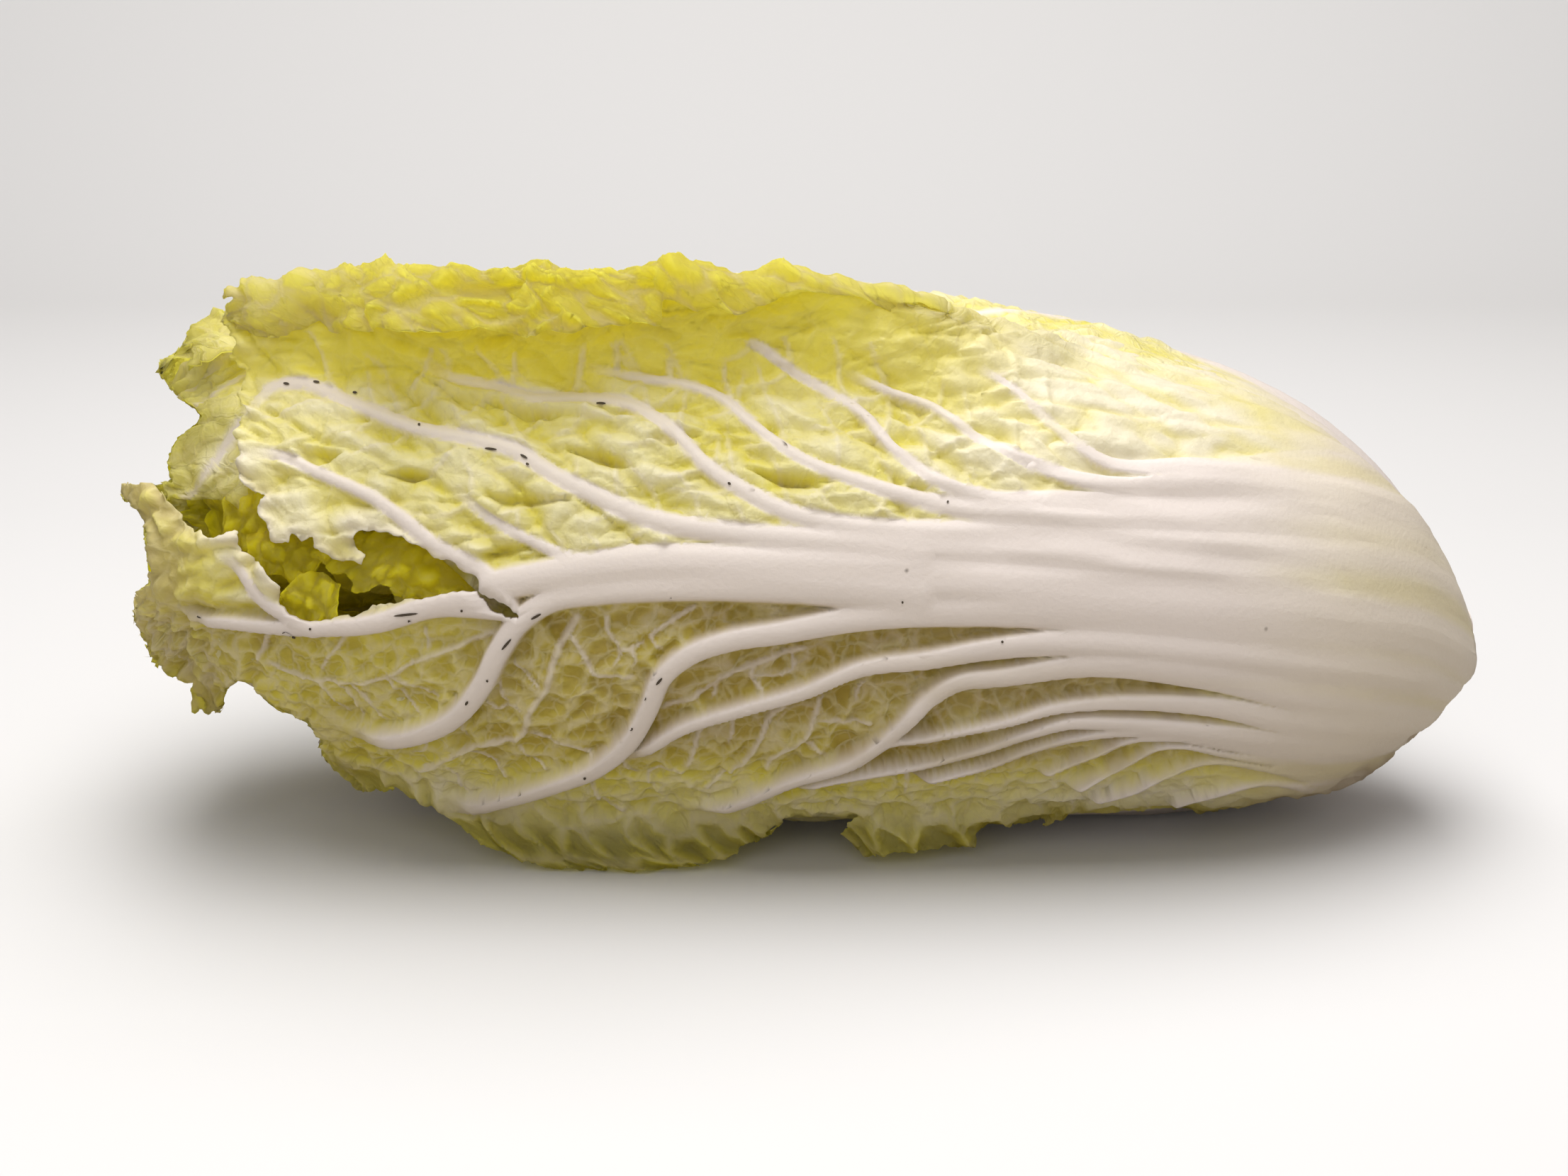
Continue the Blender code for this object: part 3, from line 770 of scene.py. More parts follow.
# Dark flecks on the front leaf's ribs, as the camera sees them: from one end to the other, in millimetres.
FLECKS_MM = (
    (-66, 30.9, -63.6, 30.6), (-58.2, 29.5, -56.8, 28.7), (-57, 27.6, -56.4, 27.2),
    (-110.6, 45.3, -109.4, 45.1), (-104, 45.7, -102.7, 45.5), (-95.3, 43.3, -94.4, 43.2),
    (-80.9, 36.3, -80.4, 36.1), (-86, -6.2, -81.2, -5.7), (-83, -7.2, -82.5, -8),
    (-129.7, -6.3, -128.6, -6.5), (-110.8, -10, -109.3, -10.3), (-109.2, -10.6, -108, -11.1),
    (-105, -9.1, -104.5, -9.1), (-71.5, -5.1, -71, -5.1), (-62.3, -13.6, -60.4, -11.4),
    (-55.8, -6.9, -53.8, -5.8), (-70.4, -25.9, -69.9, -25.1), (-28.2, -21.4, -27, -20),
    (-41.4, 40.9, -39.5, 40.8), (-25.3, -2.5, -24.7, -2.5), (-12.4, 23.3, -11.8, 22.9),
    (-34, -31.5, -33.5, -31), (-44.3, -42.3, -43.8, -42), (-65.8, -20.7, -65.4, -20.5),
    (-31, -24.8, -30.6, -24.3), (36, 19.2, 36.4, 19), (26, -3.2, 26.4, -3.2), (48, -11.8, 48.5, -12),
)

# The head's left end as the camera sees it, in millimetres: its lower half, then all of it, from the top.
LEFT_END_LOW_MM = (
    (-140, 23), (-146, 23), (-147.5, 21), (-144, 18), (-141.5, 15), (-141, 8), (-140, 1), (-143, -1),
    (-143.5, -7), (-141, -12), (-139.5, -16), (-136, -19.5), (-131, -21), (-131, -27), (-128, -28),
    (-124, -27), (-123.5, -22), (-120, -20), (-117.6, -21.7), (-112.7, -26.5), (-105.4, -29.6),
    (-102.4, -33.2),
)
LEFT_END_MM = (
    (-117, 57), (-121, 60), (-127, 62.5), (-130, 61.5), (-132, 56), (-134, 52), (-138, 50), (-138.5, 48),
    (-135, 43.5), (-131, 40.5), (-128.5, 38.5), (-130, 36), (-134, 33), (-136.5, 28), (-135.5, 23.5),
    *LEFT_END_LOW_MM,
)
BEYOND_LEFT_END_MM = (*LEFT_END_MM, (-110, -60), (-220, -60), (-220, 90), (-117, 90))

# Leaves seen through the tear: what is missing of each, as the camera sees it, in millimetres.
SHORT_LEAVES_MM = {
    4: ((-90, 45), (-92, 20), (-94, 13), (-91.5, 9), (-88.5, 5), (-89, 2), (-86, -2), (-83, -9), (-80, -40),
        (-220, -40), (-220, 45)),
    6: ((-96, -12), (-99, -6), (-101.5, -3), (-103.5, 0), (-107, 1.5), (-111, 0), (-113, -4), (-116, -12),
        (-124, -12), (-124, 40), (-60, 40), (-60, -3), (-92, -6)),
    9: ((-110, 45), (-108, 14), (-105.5, 10), (-106, 6), (-102, 4), (-99, 0.5), (-95.5, -1.5), (-92.5, 0.5),
        (-89, -1), (-85, -2.5), (-60, -4), (-60, -40), (-220, -40), (-220, 45)),
    12: ((-84, 45), (-84, -6), (-60, -40), (-220, -40), (-220, 45)),
}

# What is missing of the front leaf, as the camera sees it, in millimetres: its torn upper tip, then all that
# lies outside its lower outline.
TORN_TIP_MM = (
    (-200, 80), (-122, 64), (-124, 59), (-121.5, 55), (-123, 51), (-119, 48), (-121, 43), (-119, 39),
    (-122, 34), (-120, 30), (-122.5, 28), (-119, 22), (-115, 20.5), (-116.5, 16.5), (-114, 13),
    (-112.7, 10.5), (-109.4, 9.6), (-108.8, 12.1), (-106.6, 9.3), (-104.8, 10.8), (-104, 8.4),
    (-100.6, 6.9), (-93.6, 5.2), (-92.8, 7.2), (-95, 9.6), (-95.7, 13.6), (-91.2, 13), (-88.4, 12),
    (-84.8, 12.1), (-80.6, 9.3), (-77.5, 7.2), (-73.3, 5.4), (-68.4, 2.7), (-67.2, -1), (-62, -3.5),
    (-58, -6.8), (-61.7, -7), (-65, -4.5), (-67.8, -2.3), (-68.4, -1), (-76.3, -1.6), (-82.4, -2.3),
    (-89.7, -4.4), (-95.7, -5.9), (-101.8, -7.1), (-106.6, -7.6), (-112, -4.1), (-111, 0.2),
    (-114.5, 2.6), (-117, 6.9), (-120, 8.1), (-121.2, 12.3), (-125.5, 11.2), (-130, 12.5), (-133, 15),
    (-137, 20.5), *LEFT_END_LOW_MM, (-101.5, -42.9), (-92.1, -45), (-85.4, -44.4), (-79.9, -47.8),
    (-74, -51), (-70, -54), (-65.5, -57), (-58, -60), (-52, -62), (-34, -62.5), (-20, -61.5),
    (-12, -59.5), (-9, -57), (-5, -55.5), (-1.5, -52.5), (0, -50.8), (9, -50), (16, -50.5), (14, -53),
    (11, -56.5), (11.5, -58.5), (14, -59.6), (28, -58.7), (35, -57.5), (42, -57), (43.2, -53.5),
    (57, -51.5), (57.5, -54.3), (81, -53.8), (110, -56), (165, -50), (165, -90), (-200, -90),
)
# Deep folds of the front leaf's blade, as the camera sees them, in millimetres. They are cut in, and painted
# darker as painted shade.
FOLDS_MM = (
    ((-107.3, 30.7), (-103.3, 30.4), (-97.5, 29.9), (-100.9, 28.2), (-103.9, 26.6), (-106.6, 28.2)),
    ((-89, 25.4), (-83.6, 26.2), (-77.5, 25.1), (-83, 24.0)),
    ((-66, 20.5), (-59.9, 20.3), (-47, 19.6), (-54, 18.4), (-62.5, 18)),
    ((-66, 7.8), (-61.1, 9.4), (-55.4, 9.2), (-59.3, 7.4), (-64.2, 6.7)),
    ((-30, 33), (-24, 35), (-18, 34.4), (-25, 31.5)),
    ((-66, 41.5), (-58, 40), (-50, 38.5), (-57, 38)),
    ((-8, 26.5), (0, 25), (8, 22.5), (0, 22.8)),
    ((-48, 31), (-40, 30), (-33, 26.5), (-41, 27.5)),
)
FOLD_DEPTH = 0.0028
PLAIN_DEPTH = 0.0055  # how deep the front leaf's unseen inner layer lies below its mean surface
# How high the front leaf's flesh stands above the midrib, and how deep it sinks below it.
SWELLING_HIGH, FINE_HIGH, MESH_HIGH = 0.0036, 0.0007, 0.0003
SWELLING_DEEP, FINE_DEEP, MESH_DEEP = 0.0008, 0.0004, 0.0011
# The same all over it, then for its curled edges, its torn tip and its petiole.
HILL_HIGH, BLADE_DEEP, HOLLOW_DEEP = 0.0008, 0.0020, 0.0008
LIP_RELIEF, KNOB_HIGH, SMALL_KNOB_HIGH = 0.0014, 0.0026, 0.0007
STREAK_HIGH, FLUTE_HIGH, PLEAT_HIGH = 0.00012, 0.0006, 0.0008
CRUMPLES = ((0.0022, 0.020, 51), (0.0006, 0.0085, 61))  # height, size and seed
LEAF_CRUMPLES = ((0.0042, 0.016, 12), (0.0016, 0.007, 16))  # the same for the other leaves


def profile_turned(s, turning):
    """Y and Z reached by walking each length s across the head, in the heading that turning gives there."""
    steps = np.diff(s, prepend=0)
    heading = turning(s - steps / 2)
    return np.cumsum(np.cos(heading) * steps), np.cumsum(np.sin(heading) * steps)


def lip_heading(s):
    first = np.clip(s / LIP_STRAIGHT_FROM, 0, 1) * LIP_FIRST_TURN
    second = np.clip((s - LIP_STRAIGHT_TO) / LIP_ARC, 0, 1) * LIP_SECOND_TURN
    return math.pi / 2 - FRONT_HIGH + first + second


def hem_heading(s):
    return -math.pi / 2 - FRONT_LOW - HEM_TURN * np.clip(s / HEM_TURN_END, 0, 1)


def front_radius(x, angle):
    """The head's outside, less the height that the petiole's flutes add towards the base."""
    return head_radius(x, angle) - 0.0014 * smooth(x / 0.1) - 0.002 * smooth((x - 0.139) / 0.007)


def front_surface(leaf):
    """The front leaf's surface: on the head in the middle, curled at the lip and flared at the hem."""
    rows, columns = FRONT_GRID
    ends = (-HEM_END + FRONT_LOW * NOMINAL_RADIUS, LIP_END + FRONT_HIGH * NOMINAL_RADIUS)
    place = np.linspace(*ends, columns)
    t = np.linspace(0, 1, rows)
    x = leaf.base + (FRONT_TIP - leaf.base) * (1.2 * t - 0.2 * t * t)
    x = x[:, None] + 0 * place
    angle = np.clip(place / NOMINAL_RADIUS, FRONT_LOW, FRONT_HIGH)
    over = np.clip(place - FRONT_HIGH * NOMINAL_RADIUS, 0, None)
    under = np.clip(FRONT_LOW * NOMINAL_RADIUS - place, 0, None)
    lip_columns = LIP_COLUMNS + (BASE_COLUMNS - LIP_COLUMNS) * smooth((x - BASE_REACH_FROM) / 0.045)
    hem_columns = HEM_COLUMNS + (TIP_COLUMNS - HEM_COLUMNS) * smooth((-0.100 - x) / 0.020)
    hem_columns = hem_columns + (BUTT_COLUMNS - HEM_COLUMNS) * smooth((x - 0.070) / 0.040)
    held_angle = angle + COLUMN * (lip_columns * over / LIP_END - hem_columns * under / HEM_END)
    held = around(x, held_angle, front_radius(x, held_angle))
    edge_angle = angle + 0 * x
    free = around(x, edge_angle, front_radius(x, edge_angle))
    for s, turning in ((over, lip_heading), (under[::-1], hem_heading)):
        y, z = profile_turned(s, turning)
        if turning is hem_heading:
            y, z = y[::-1], z[::-1]
        free[..., 1] += y
        free[..., 2] += z
    lip = curve_through(x, *zip(*LIP_ALONG)) * (over > 0)
    hem = curve_through(x, *zip(*HEM_ALONG)) * (under > 0)
    wander = 0.12 * noise(x, 0 * x, 0.022, 5) * (over > 0)
    amount = np.clip(lip + hem + wander * lip, 0, 1.05)[..., None]
    return held + (free - held) * amount, over + 0 * x, under + 0 * x


def laid_on(surface, drawn_mm):
    """Points drawn in the camera's view, laid on a surface that the camera sees."""
    found = []
    for direction in rays_to(MM * np.array(drawn_mm, float)):
        hit = surface.ray_cast(Vector(EYE), Vector(direction))[0]
        if hit:
            found.append(hit)
    return np.array(found)


def surface_tree(points, step=4):
    """What rays are cast at: a sheet's grid, with every so many of its points."""
    coarse = points[::step, ::step]
    rows, columns = coarse.shape[:2]
    index = np.arange(rows * columns).reshape(rows, columns)
    quads = np.stack([index[:-1, :-1], index[:-1, 1:], index[1:, 1:], index[1:, :-1]], -1).reshape(-1, 4)
    return BVHTree.FromPolygons(coarse.reshape(-1, 3).tolist(), quads.tolist())


def branches(drawn_mm, seed):
    """Small veins that leave a drawn one on both sides, curving on to run more nearly along it."""
    chance = np.random.default_rng(seed)
    trunk = softened(drawn_mm, 1.0)
    place = 10 + 5 * chance.random()
    found = []
    while place < len(trunk) - 3:
        i = int(place)
        ahead = trunk[i + 2] - trunk[i - 2]
        way = math.atan2(ahead[1], ahead[0])
        for side in (-1, 1):
            length = 7 + 12 * chance.random()
            steps = np.linspace(0, length, 9)
            turn = BRANCH_TURN * (1.1 - 0.5 * steps / length) + 0.35 * (chance.random() - 0.5)
            heading = way + side * turn + 0.25 * np.sin(steps / 3 + 6 * chance.random())
            step = length / 8
            line = trunk[i] + np.cumsum(np.stack([np.cos(heading), np.sin(heading)], -1) * step, axis=0)
            if BRANCH_LEFT_END < trunk[i][0] < BRANCH_RIGHT_END:
                found.append(np.vstack([trunk[i], line]))
        place += BRANCH_STEP * (0.7 + 0.6 * chance.random())
    return found


def front_veins(tree):
    """The front leaf's ribs, their branches, and the hollows that run below the ribs."""
    main, small, hollows = [], [], []
    for number, (drawn, wide, narrow, high, low, spread) in enumerate(FRONT_VEINS_MM):
        path = laid_on(tree, softened(drawn, 2.0))
        main.append(Vein(path, wide * MM, narrow * MM, high * MM, low * MM, spread))
        hollows.append(path - (0, 0, SHADE_DROP + 0.4 * wide * MM))
        for branch in branches(drawn, number) if number in BRANCHED else ():
            path = laid_on(tree, softened(branch, 1.5))
            if len(path) > 3:
                small.append(Vein(path, *(MM * size for size in BRANCH_MM), 0.0, BRANCH_STRONG))
    for drawn, wide in SMALL_VEINS_MM:
        path = laid_on(tree, softened(drawn, 1.0))
        small.append(Vein(path, wide * MM, 0.7 * wide * MM, 2.4 * wide * MM, 1.4 * wide * MM, 0.0))
    return main, small, hollows


def hollow_field(points, hollows):
    """How near each point is to a hollow below a rib, from 0 to 1, where the blade sinks and is painted
    darker as painted shade.
    """
    flat = points.reshape(-1, 3)
    depth = np.zeros(len(flat))
    reach = 2 * SHADE_WIDE
    for path in hollows:
        near = np.flatnonzero(((flat > path.min(0) - reach) & (flat < path.max(0) + reach)).all(1))
        away, place = along_path(flat[near], path)
        nearness = np.exp(-((away / SHADE_WIDE) ** 2)) * smooth((1 - place) / 0.15)
        depth[near] = np.maximum(depth[near], nearness)
    return depth.reshape(points.shape[:-1])


def lobed(x, high, long, seed):
    """Rounded lobes with sharp notches between them, along a margin."""
    return high * (np.abs(noise(x, 0 * x, long, seed)) - 0.35)


def max_of(fields):
    return np.maximum.reduce(list(fields))


def make_flecks(surface):
    """Small dark strokes lying on the front leaf."""
    points, faces = [], []
    turns = np.linspace(0, math.tau, 10, endpoint=False)[:, None]
    for fleck in np.array(FLECKS_MM, float):
        start, end = fleck[:2], fleck[2:]
        long = (end - start) / 2
        wide = FLECK_HALF_WIDTH / MM * unit(np.array((-long[1], long[0])))
        outline = laid_on(surface, (start + end) / 2 + np.cos(turns) * long * 1.15 + np.sin(turns) * wide)
        if len(outline) == len(turns):
            faces.append(tuple(range(len(points), len(points) + len(turns))))
            points.extend((outline - FLECK_LIFT * SEEN_IN).tolist())
    mesh = bpy.data.meshes.new("flecks")
    mesh.from_pydata(points, [], faces)
    shading = Shading("fleck")
    front = shading.node("ShaderNodeBsdfPrincipled", Base_Color=DARK_SPECK, Roughness=0.7)
    shading.node("ShaderNodeOutputMaterial", Surface=front.outputs[0])
    mesh.materials.append(shading.material)
    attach(placed("flecks", mesh), "root")


def front_zones(surface, over, under):
    """Where the front leaf's parts are, from 0 to 1, and where each point is seen, in millimetres."""
    x = surface[..., 0]
    across, up = np.moveaxis(as_seen(surface) / MM, -1, 0)
    place = np.stack([across, up], -1)
    lip = curve_through(x, *zip(*LIP_ALONG))
    return Fields(
        x=x, over=over, under=under, across=across, up=up, lip=lip,
        upper=smooth((up - np.interp(across, *zip(*MIDRIB_MM))) / 6),
        on_head=smooth((0.024 - over) / 0.008),
        petiole=petiole_share(x),
        tip=smooth((-0.110 - x) / 0.018),
        free=smooth(over / 0.014) * lip + smooth(under / 0.012),
        folded=max_of(smooth(0.5 - signed_distance(place, np.array(fold)) / 1.6) for fold in FOLDS_MM),
    )


def front_ribs(surface, tree, zones):
    """How high and how white the front leaf's veins are, and the hollows below them."""
    main, small, hollows = front_veins(tree)
    hollow = hollow_field(surface, hollows)
    raised, white = vein_fields(surface, main)
    small_raised, small_white = vein_fields(surface, small)
    flattened = smooth((zones.x - 0.060) / 0.070)
    smoother = 0.6 * smooth((zones.x - 0.015) / 0.075) * smooth((surface[..., 2] - 0.030) / 0.030)
    evened = np.maximum(np.maximum(0.9 * flattened, 0.4 * zones.petiole), smoother)
    raised = raised + (PETIOLE_HEIGHT - raised) * evened
    white = np.maximum(white * zones.on_head, zones.petiole)
    return Fields(
        raised=raised * zones.on_head, small_raised=small_raised * zones.on_head * (1 - zones.petiole),
        white=white, small_white=small_white, hollow=hollow, blade=(1 - white) * (1 - zones.petiole),
    )


def front_texture(sheet, zones):
    """The swellings, nets, hills, knobs and flutes of the front leaf."""
    u, v = sheet.along, sheet.across
    lines, mesh_depth = net_of(u, v, 0.0078, 0.00050, 21)
    large, small = knobs_of(u, v, 0.0064, 0.0019, 71), knobs_of(u, v, 0.0030, 0.001, 76)
    long_folds = folds(u, v, math.radians(22), 0.030, 0.0092, 11)
    short_folds = folds(u, v, -0.2, 0.018, 0.0075, 13)
    return Fields(
        swelling=0.6 * long_folds + 0.4 * short_folds,
        fine=folds(u, v, math.radians(20), 0.0075, 0.0032, 15),
        lines=lines, mesh_depth=mesh_depth, fine_depth=net_of(u, v, 0.0034, 0.00035, 26)[1],
        hills=noise(u, v, 0.022, 31),
        knobs=KNOB_HIGH * large + SMALL_KNOB_HIGH * small,
        flutes=smooth((zones.x + 0.02) / 0.06) * noise(u / 22, v, 0.0075, 83),
    )


def front_lift(sheet, zones, ribs, texture):
    """How far the front leaf's outside stands out from its mean surface."""
    u, v, x, upper, petiole, tip = sheet.along, sheet.across, zones.x, zones.upper, zones.petiole, zones.tip
    swelling, mesh_depth = texture.swelling, texture.mesh_depth
    plain = (1 - 0.6 * smooth((x - 0.020) / 0.050)) * (1 - 0.8 * tip)
    bulging = plain * (SWELLING_HIGH * swelling + FINE_HIGH * texture.fine + MESH_HIGH * mesh_depth)
    sinking = -MESH_DEEP * mesh_depth - FINE_DEEP * texture.fine_depth - SWELLING_DEEP * swelling
    flesh = upper * bulging + (1 - upper) * sinking
    flesh = flesh + HILL_HIGH * texture.hills - BLADE_DEEP - HOLLOW_DEEP * ribs.hollow
    height = ribs.blade * flesh - FOLD_DEPTH * zones.folded * ribs.blade
    lip_relief = zones.free * LIP_RELIEF * (1 - mesh_depth)
    lift = height + ribs.raised + ribs.small_raised * ribs.blade + lip_relief
    streaks = STREAK_HIGH * petiole * noise(u / 12, v, 0.0016, 81) + FLUTE_HIGH * ribs.white * texture.flutes
    pleats = PLEAT_HIGH * upper * smooth((x - 0.010) / 0.030) * (1 - petiole) * noise(u / 5, v, 0.0048, 85)
    return lift + tip * (1 - ribs.white) * texture.knobs + streaks + pleats


def front_margins(sheet, zones, outer):
    """How far inside its torn outline each point of the front leaf is, and how far inside its long edges."""
    x, u, v = zones.x, sheet.along, sheet.across
    top = LIP_END - np.interp(x, *zip(*LIP_CUT)) - zones.over
    top = top + lobed(x, 0.0060, 0.024, 41) + lobed(x, 0.0020, 0.008, 42)
    lobes = lobed(x, 0.0055, 0.022, 43) + lobed(x, 0.0018, 0.008, 44)
    low = HEM_END - 0.002 - zones.under + lobes * smooth((0.10 - x) / 0.04)
    jag = 0.0007 * noise(u, v, 0.0035, 45) + 0.0004 * noise(u, v, 0.0015, 46)
    return signed_distance(as_seen(outer), MM * np.array(TORN_TIP_MM)) + jag, np.minimum(top, low)


def front_thickness(zones, ribs, lift, field):
    """The front leaf is thick along its ribs, and its inner layer is plain and deep where it isn't seen."""
    thick = ribs.raised + ribs.small_raised * ribs.blade + 0.0005
    thick = thick + ribs.raised * (0.5 + 0.5 * smooth((zones.x + 0.02) / 0.1))
    thick = thick * (0.5 + 0.5 * smooth(field / 0.003))
    hidden = smooth((field - 0.003) / 0.004) * (1 - np.clip(zones.free + zones.tip, 0, 1))
    return thick + (np.maximum(lift + PLAIN_DEPTH, 0.0005) - thick) * hidden


def front_painted_light_and_shade(zones, ribs, texture, recess):
    """Painted light and shade on the front leaf's flesh, from its deep hollows at 0 to its swellings at 1."""
    upper, lower = zones.upper, 1 - zones.upper
    # Painted shade in the hollows below the ribs, weaker towards the left end.
    hollow = ribs.hollow * (0.35 + 0.65 * smooth((zones.across + 60) / 40))
    # Upper half: paler on the swellings and darker in the valleys between them, as painted light and shade.
    light = upper * (0.34 + 0.80 * texture.swelling + 0.10 * texture.fine)
    # Lower half: darker all over, and darker still in the sunken cells, as painted shade.
    light = light + lower * (0.22 - 0.22 * texture.mesh_depth + 0.14 * texture.hills)
    # Paler along the bottom and towards the lower left: painted light on parts that lie in shade.
    light = light + 0.62 * lower * smooth((-38 - zones.up) / 10)
    light = light + 0.24 * lower * smooth((-62 - zones.across) / 14)
    light = light + (0.4 - 0.3 * upper) * smooth((zones.x - 0.02) / 0.08)
    # Darker in the hollows below the ribs: painted shade.
    light = light - (0.30 - 0.15 * upper) * hollow
    # The recess under the curled lip is held at a saturated middle tone: painted shade, tinted by light that
    # comes through the lip.
    light = light + (0.42 - light) * recess
    # The flared hem is made paler: painted light on a part that faces down.
    light = light + (0.95 - light) * 0.85 * smooth(zones.under / 0.01)
    # Darker in the deep folds: painted shade.
    light = light - 0.25 * zones.folded + (0.30 - light) * 0.8 * zones.petiole
    # At the torn tip: pale on the knobs and dark between them, as painted light and shade.
    return light + (0.85 * (texture.knobs / 0.0033) ** 2 - light) * zones.tip


def front_attributes(sheet, zones, ribs, texture, torn, sides):
    """What the front leaf's material reads at each point."""
    x, up, upper, on_head = zones.x, zones.up, zones.upper, zones.on_head
    tip, petiole = zones.tip, zones.petiole
    recess = smooth((zones.over + 0.002) / 0.008) * smooth((0.026 - zones.over) / 0.004) * zones.lip
    ragged = np.exp(-np.clip(torn, 0, None) / 0.003) * smooth((-0.055 - x) / 0.01) * (1 - 0.7 * tip)
    ragged = ragged * smooth((34 - up) / 6) * smooth((up + 12) / 4)
    paler = 0.45 * smooth(x / 0.07) * smooth((x + 0.01) / 0.05)
    # Less pale on the lower side, below the midrib: painted shade.
    paler = paler * (1 - 0.65 * (1 - upper) * smooth((-8 - up) / 8))
    small_white = (0.70 - 0.2 * upper) * ribs.small_white * on_head
    fine_lines = 0.42 * texture.lines * (1 - 0.7 * upper * on_head) * (1 - recess)
    white = max_of((ribs.white, paler, small_white, fine_lines, 0.65 * ragged))
    far_over = smooth((zones.over - 0.020) / 0.008) * (x < 0.06)
    attributes = {
        "white": white * (1 - 0.26 * smooth(-1.6 * texture.flutes)) * (1 - 0.12 * petiole),
        "light": front_painted_light_and_shade(zones, ribs, texture, recess),
        "edge": max_of((0.7 * far_over, 0.8 * smooth((0.006 - sides) / 0.006), 0.3 * tip)),
        "thin": np.maximum(smooth((zones.over - 0.016) / 0.008) * zones.lip, smooth(zones.under / 0.01)),
        "net": (1 - petiole) * (1 - 0.55 * upper * on_head) * (1 - 0.5 * recess) * (1 - paler),
    }
    attributes = {key: np.clip(values, 0, 1) for key, values in attributes.items()}
    return attributes | {"flat": np.stack([sheet.along, sheet.across, 0 * x + 0.1], -1)}


def make_front_leaf(leaf, material):
    """Makes the front leaf and its flecks, and returns what rays are cast at to lay a drawing on it."""
    surface, over, under = front_surface(leaf)
    sheet, tree = sheet_of(surface), surface_tree(surface)
    zones = front_zones(surface, over, under)
    ribs = front_ribs(surface, tree, zones)
    texture = front_texture(sheet, zones)
    lift = front_lift(sheet, zones, ribs, texture)
    crumple = sum(frilled(sheet, *crumple) for crumple in CRUMPLES)
    crumple = crumple * np.clip(zones.free + 1.3 * zones.tip, 0, 1.4)[..., None]
    outer = surface + sheet.normals * lift[..., None] + crumple
    outer[..., 2] = np.maximum(outer[..., 2], 0.0002)
    torn, sides = front_margins(sheet, zones, outer)
    field = np.minimum(sides, torn)
    inner = outer - sheet.normals * front_thickness(zones, ribs, lift, field)[..., None]
    inner[..., 2] = np.maximum(inner[..., 2], 0.0005)
    attributes = front_attributes(sheet, zones, ribs, texture, torn, sides)
    outer = finished_leaf(
        "leaf_01_front", "leaf_01", (outer, inner), field, attributes, material,
        FRONT_TRIANGLES,
    )
    make_flecks(surface_tree(outer, 2))
    return tree


# ------------------------------------------------------------------ the other leaves

FLARED_LEAF, FLARE, FLARE_AT = 2, 0.0055, (-0.127, math.radians(82))  # one leaf stands out a little there
MIDRIB_SIZES_MM, SIDE_VEIN_SIZES_MM = (5.0, 0.9, 2.4, 0.8), (3.4, 0.8, 1.7, 0.6)
SIDE_VEIN_FROM, SIDE_VEIN_RUN, SIDE_VEIN_REACH = 0.085, 0.075, 0.062
# A leaf's grid, how many side veins it has on each side, and its triangles.
Detail = namedtuple("Detail", "rows columns veins triangles")
OUTER_DETAIL, SHOWING_DETAIL, HIDDEN_DETAIL = (
    Detail(240, 150, 9, 56_000), Detail(150, 90, 0, 26_000), Detail(110, 60, 0, 10_000),
)


def grown_veins(leaf, leaves, count):
    """A midrib with side veins that run along it from the base and leave it one by one."""
    def laid(x, across):
        angle = leaf.centre + across / np.maximum(head_radius(x, leaf.centre + 0 * x), 0.02)
        return around(x, angle, leaf_radius(leaf, leaves, x, angle))

    def vein(path, sizes_mm, spread):
        return Vein(path, *(size * MM for size in sizes_mm), spread)

    x = np.linspace(leaf.base, leaf.tip + 0.004, 40)
    veins = [vein(laid(x, 0 * x), MIDRIB_SIZES_MM, 0.6)]
    for side in (-1, 1):
        for i in range(count):
            t = (i + 0.5 + 0.3 * side) / count
            leaves_at = SIDE_VEIN_FROM - t * (SIDE_VEIN_FROM - leaf.tip - 0.02)
            x = np.linspace(leaf.base, max(leaves_at - SIDE_VEIN_RUN, leaf.tip + 0.006), 44)
            trunk = (0.022 * (1 - t) ** 0.8 + 0.004) * np.clip((x - leaf.tip) / 0.2, 0.2, 1)
            gone = np.clip((leaves_at - x) / SIDE_VEIN_RUN, 0, 1)
            sway = 0.0022 * noise(x, 0 * x, 0.018, 40 * leaf.number + 7 * i + side) * smooth(3 * gone)
            across = side * (trunk + SIDE_VEIN_REACH * gone**1.35) + sway
            keep = np.abs(across) < 0.066
            veins.append(vein(laid(x[keep], across[keep]), SIDE_VEIN_SIZES_MM, 0.9))
    return veins


def seen_angle(angle):
    """The angle from the front, from -180 to 180 degrees."""
    return (angle + math.pi) % math.tau - math.pi


def under_front(x, angle):
    """Where the front leaf covers the others."""
    limit = math.radians(84) + math.radians(25) * smooth((x - BASE_REACH_FROM) / 0.045) * (angle > 0)
    return smooth((limit - np.abs(angle)) / math.radians(12)) * smooth((x + 0.118) / 0.012)


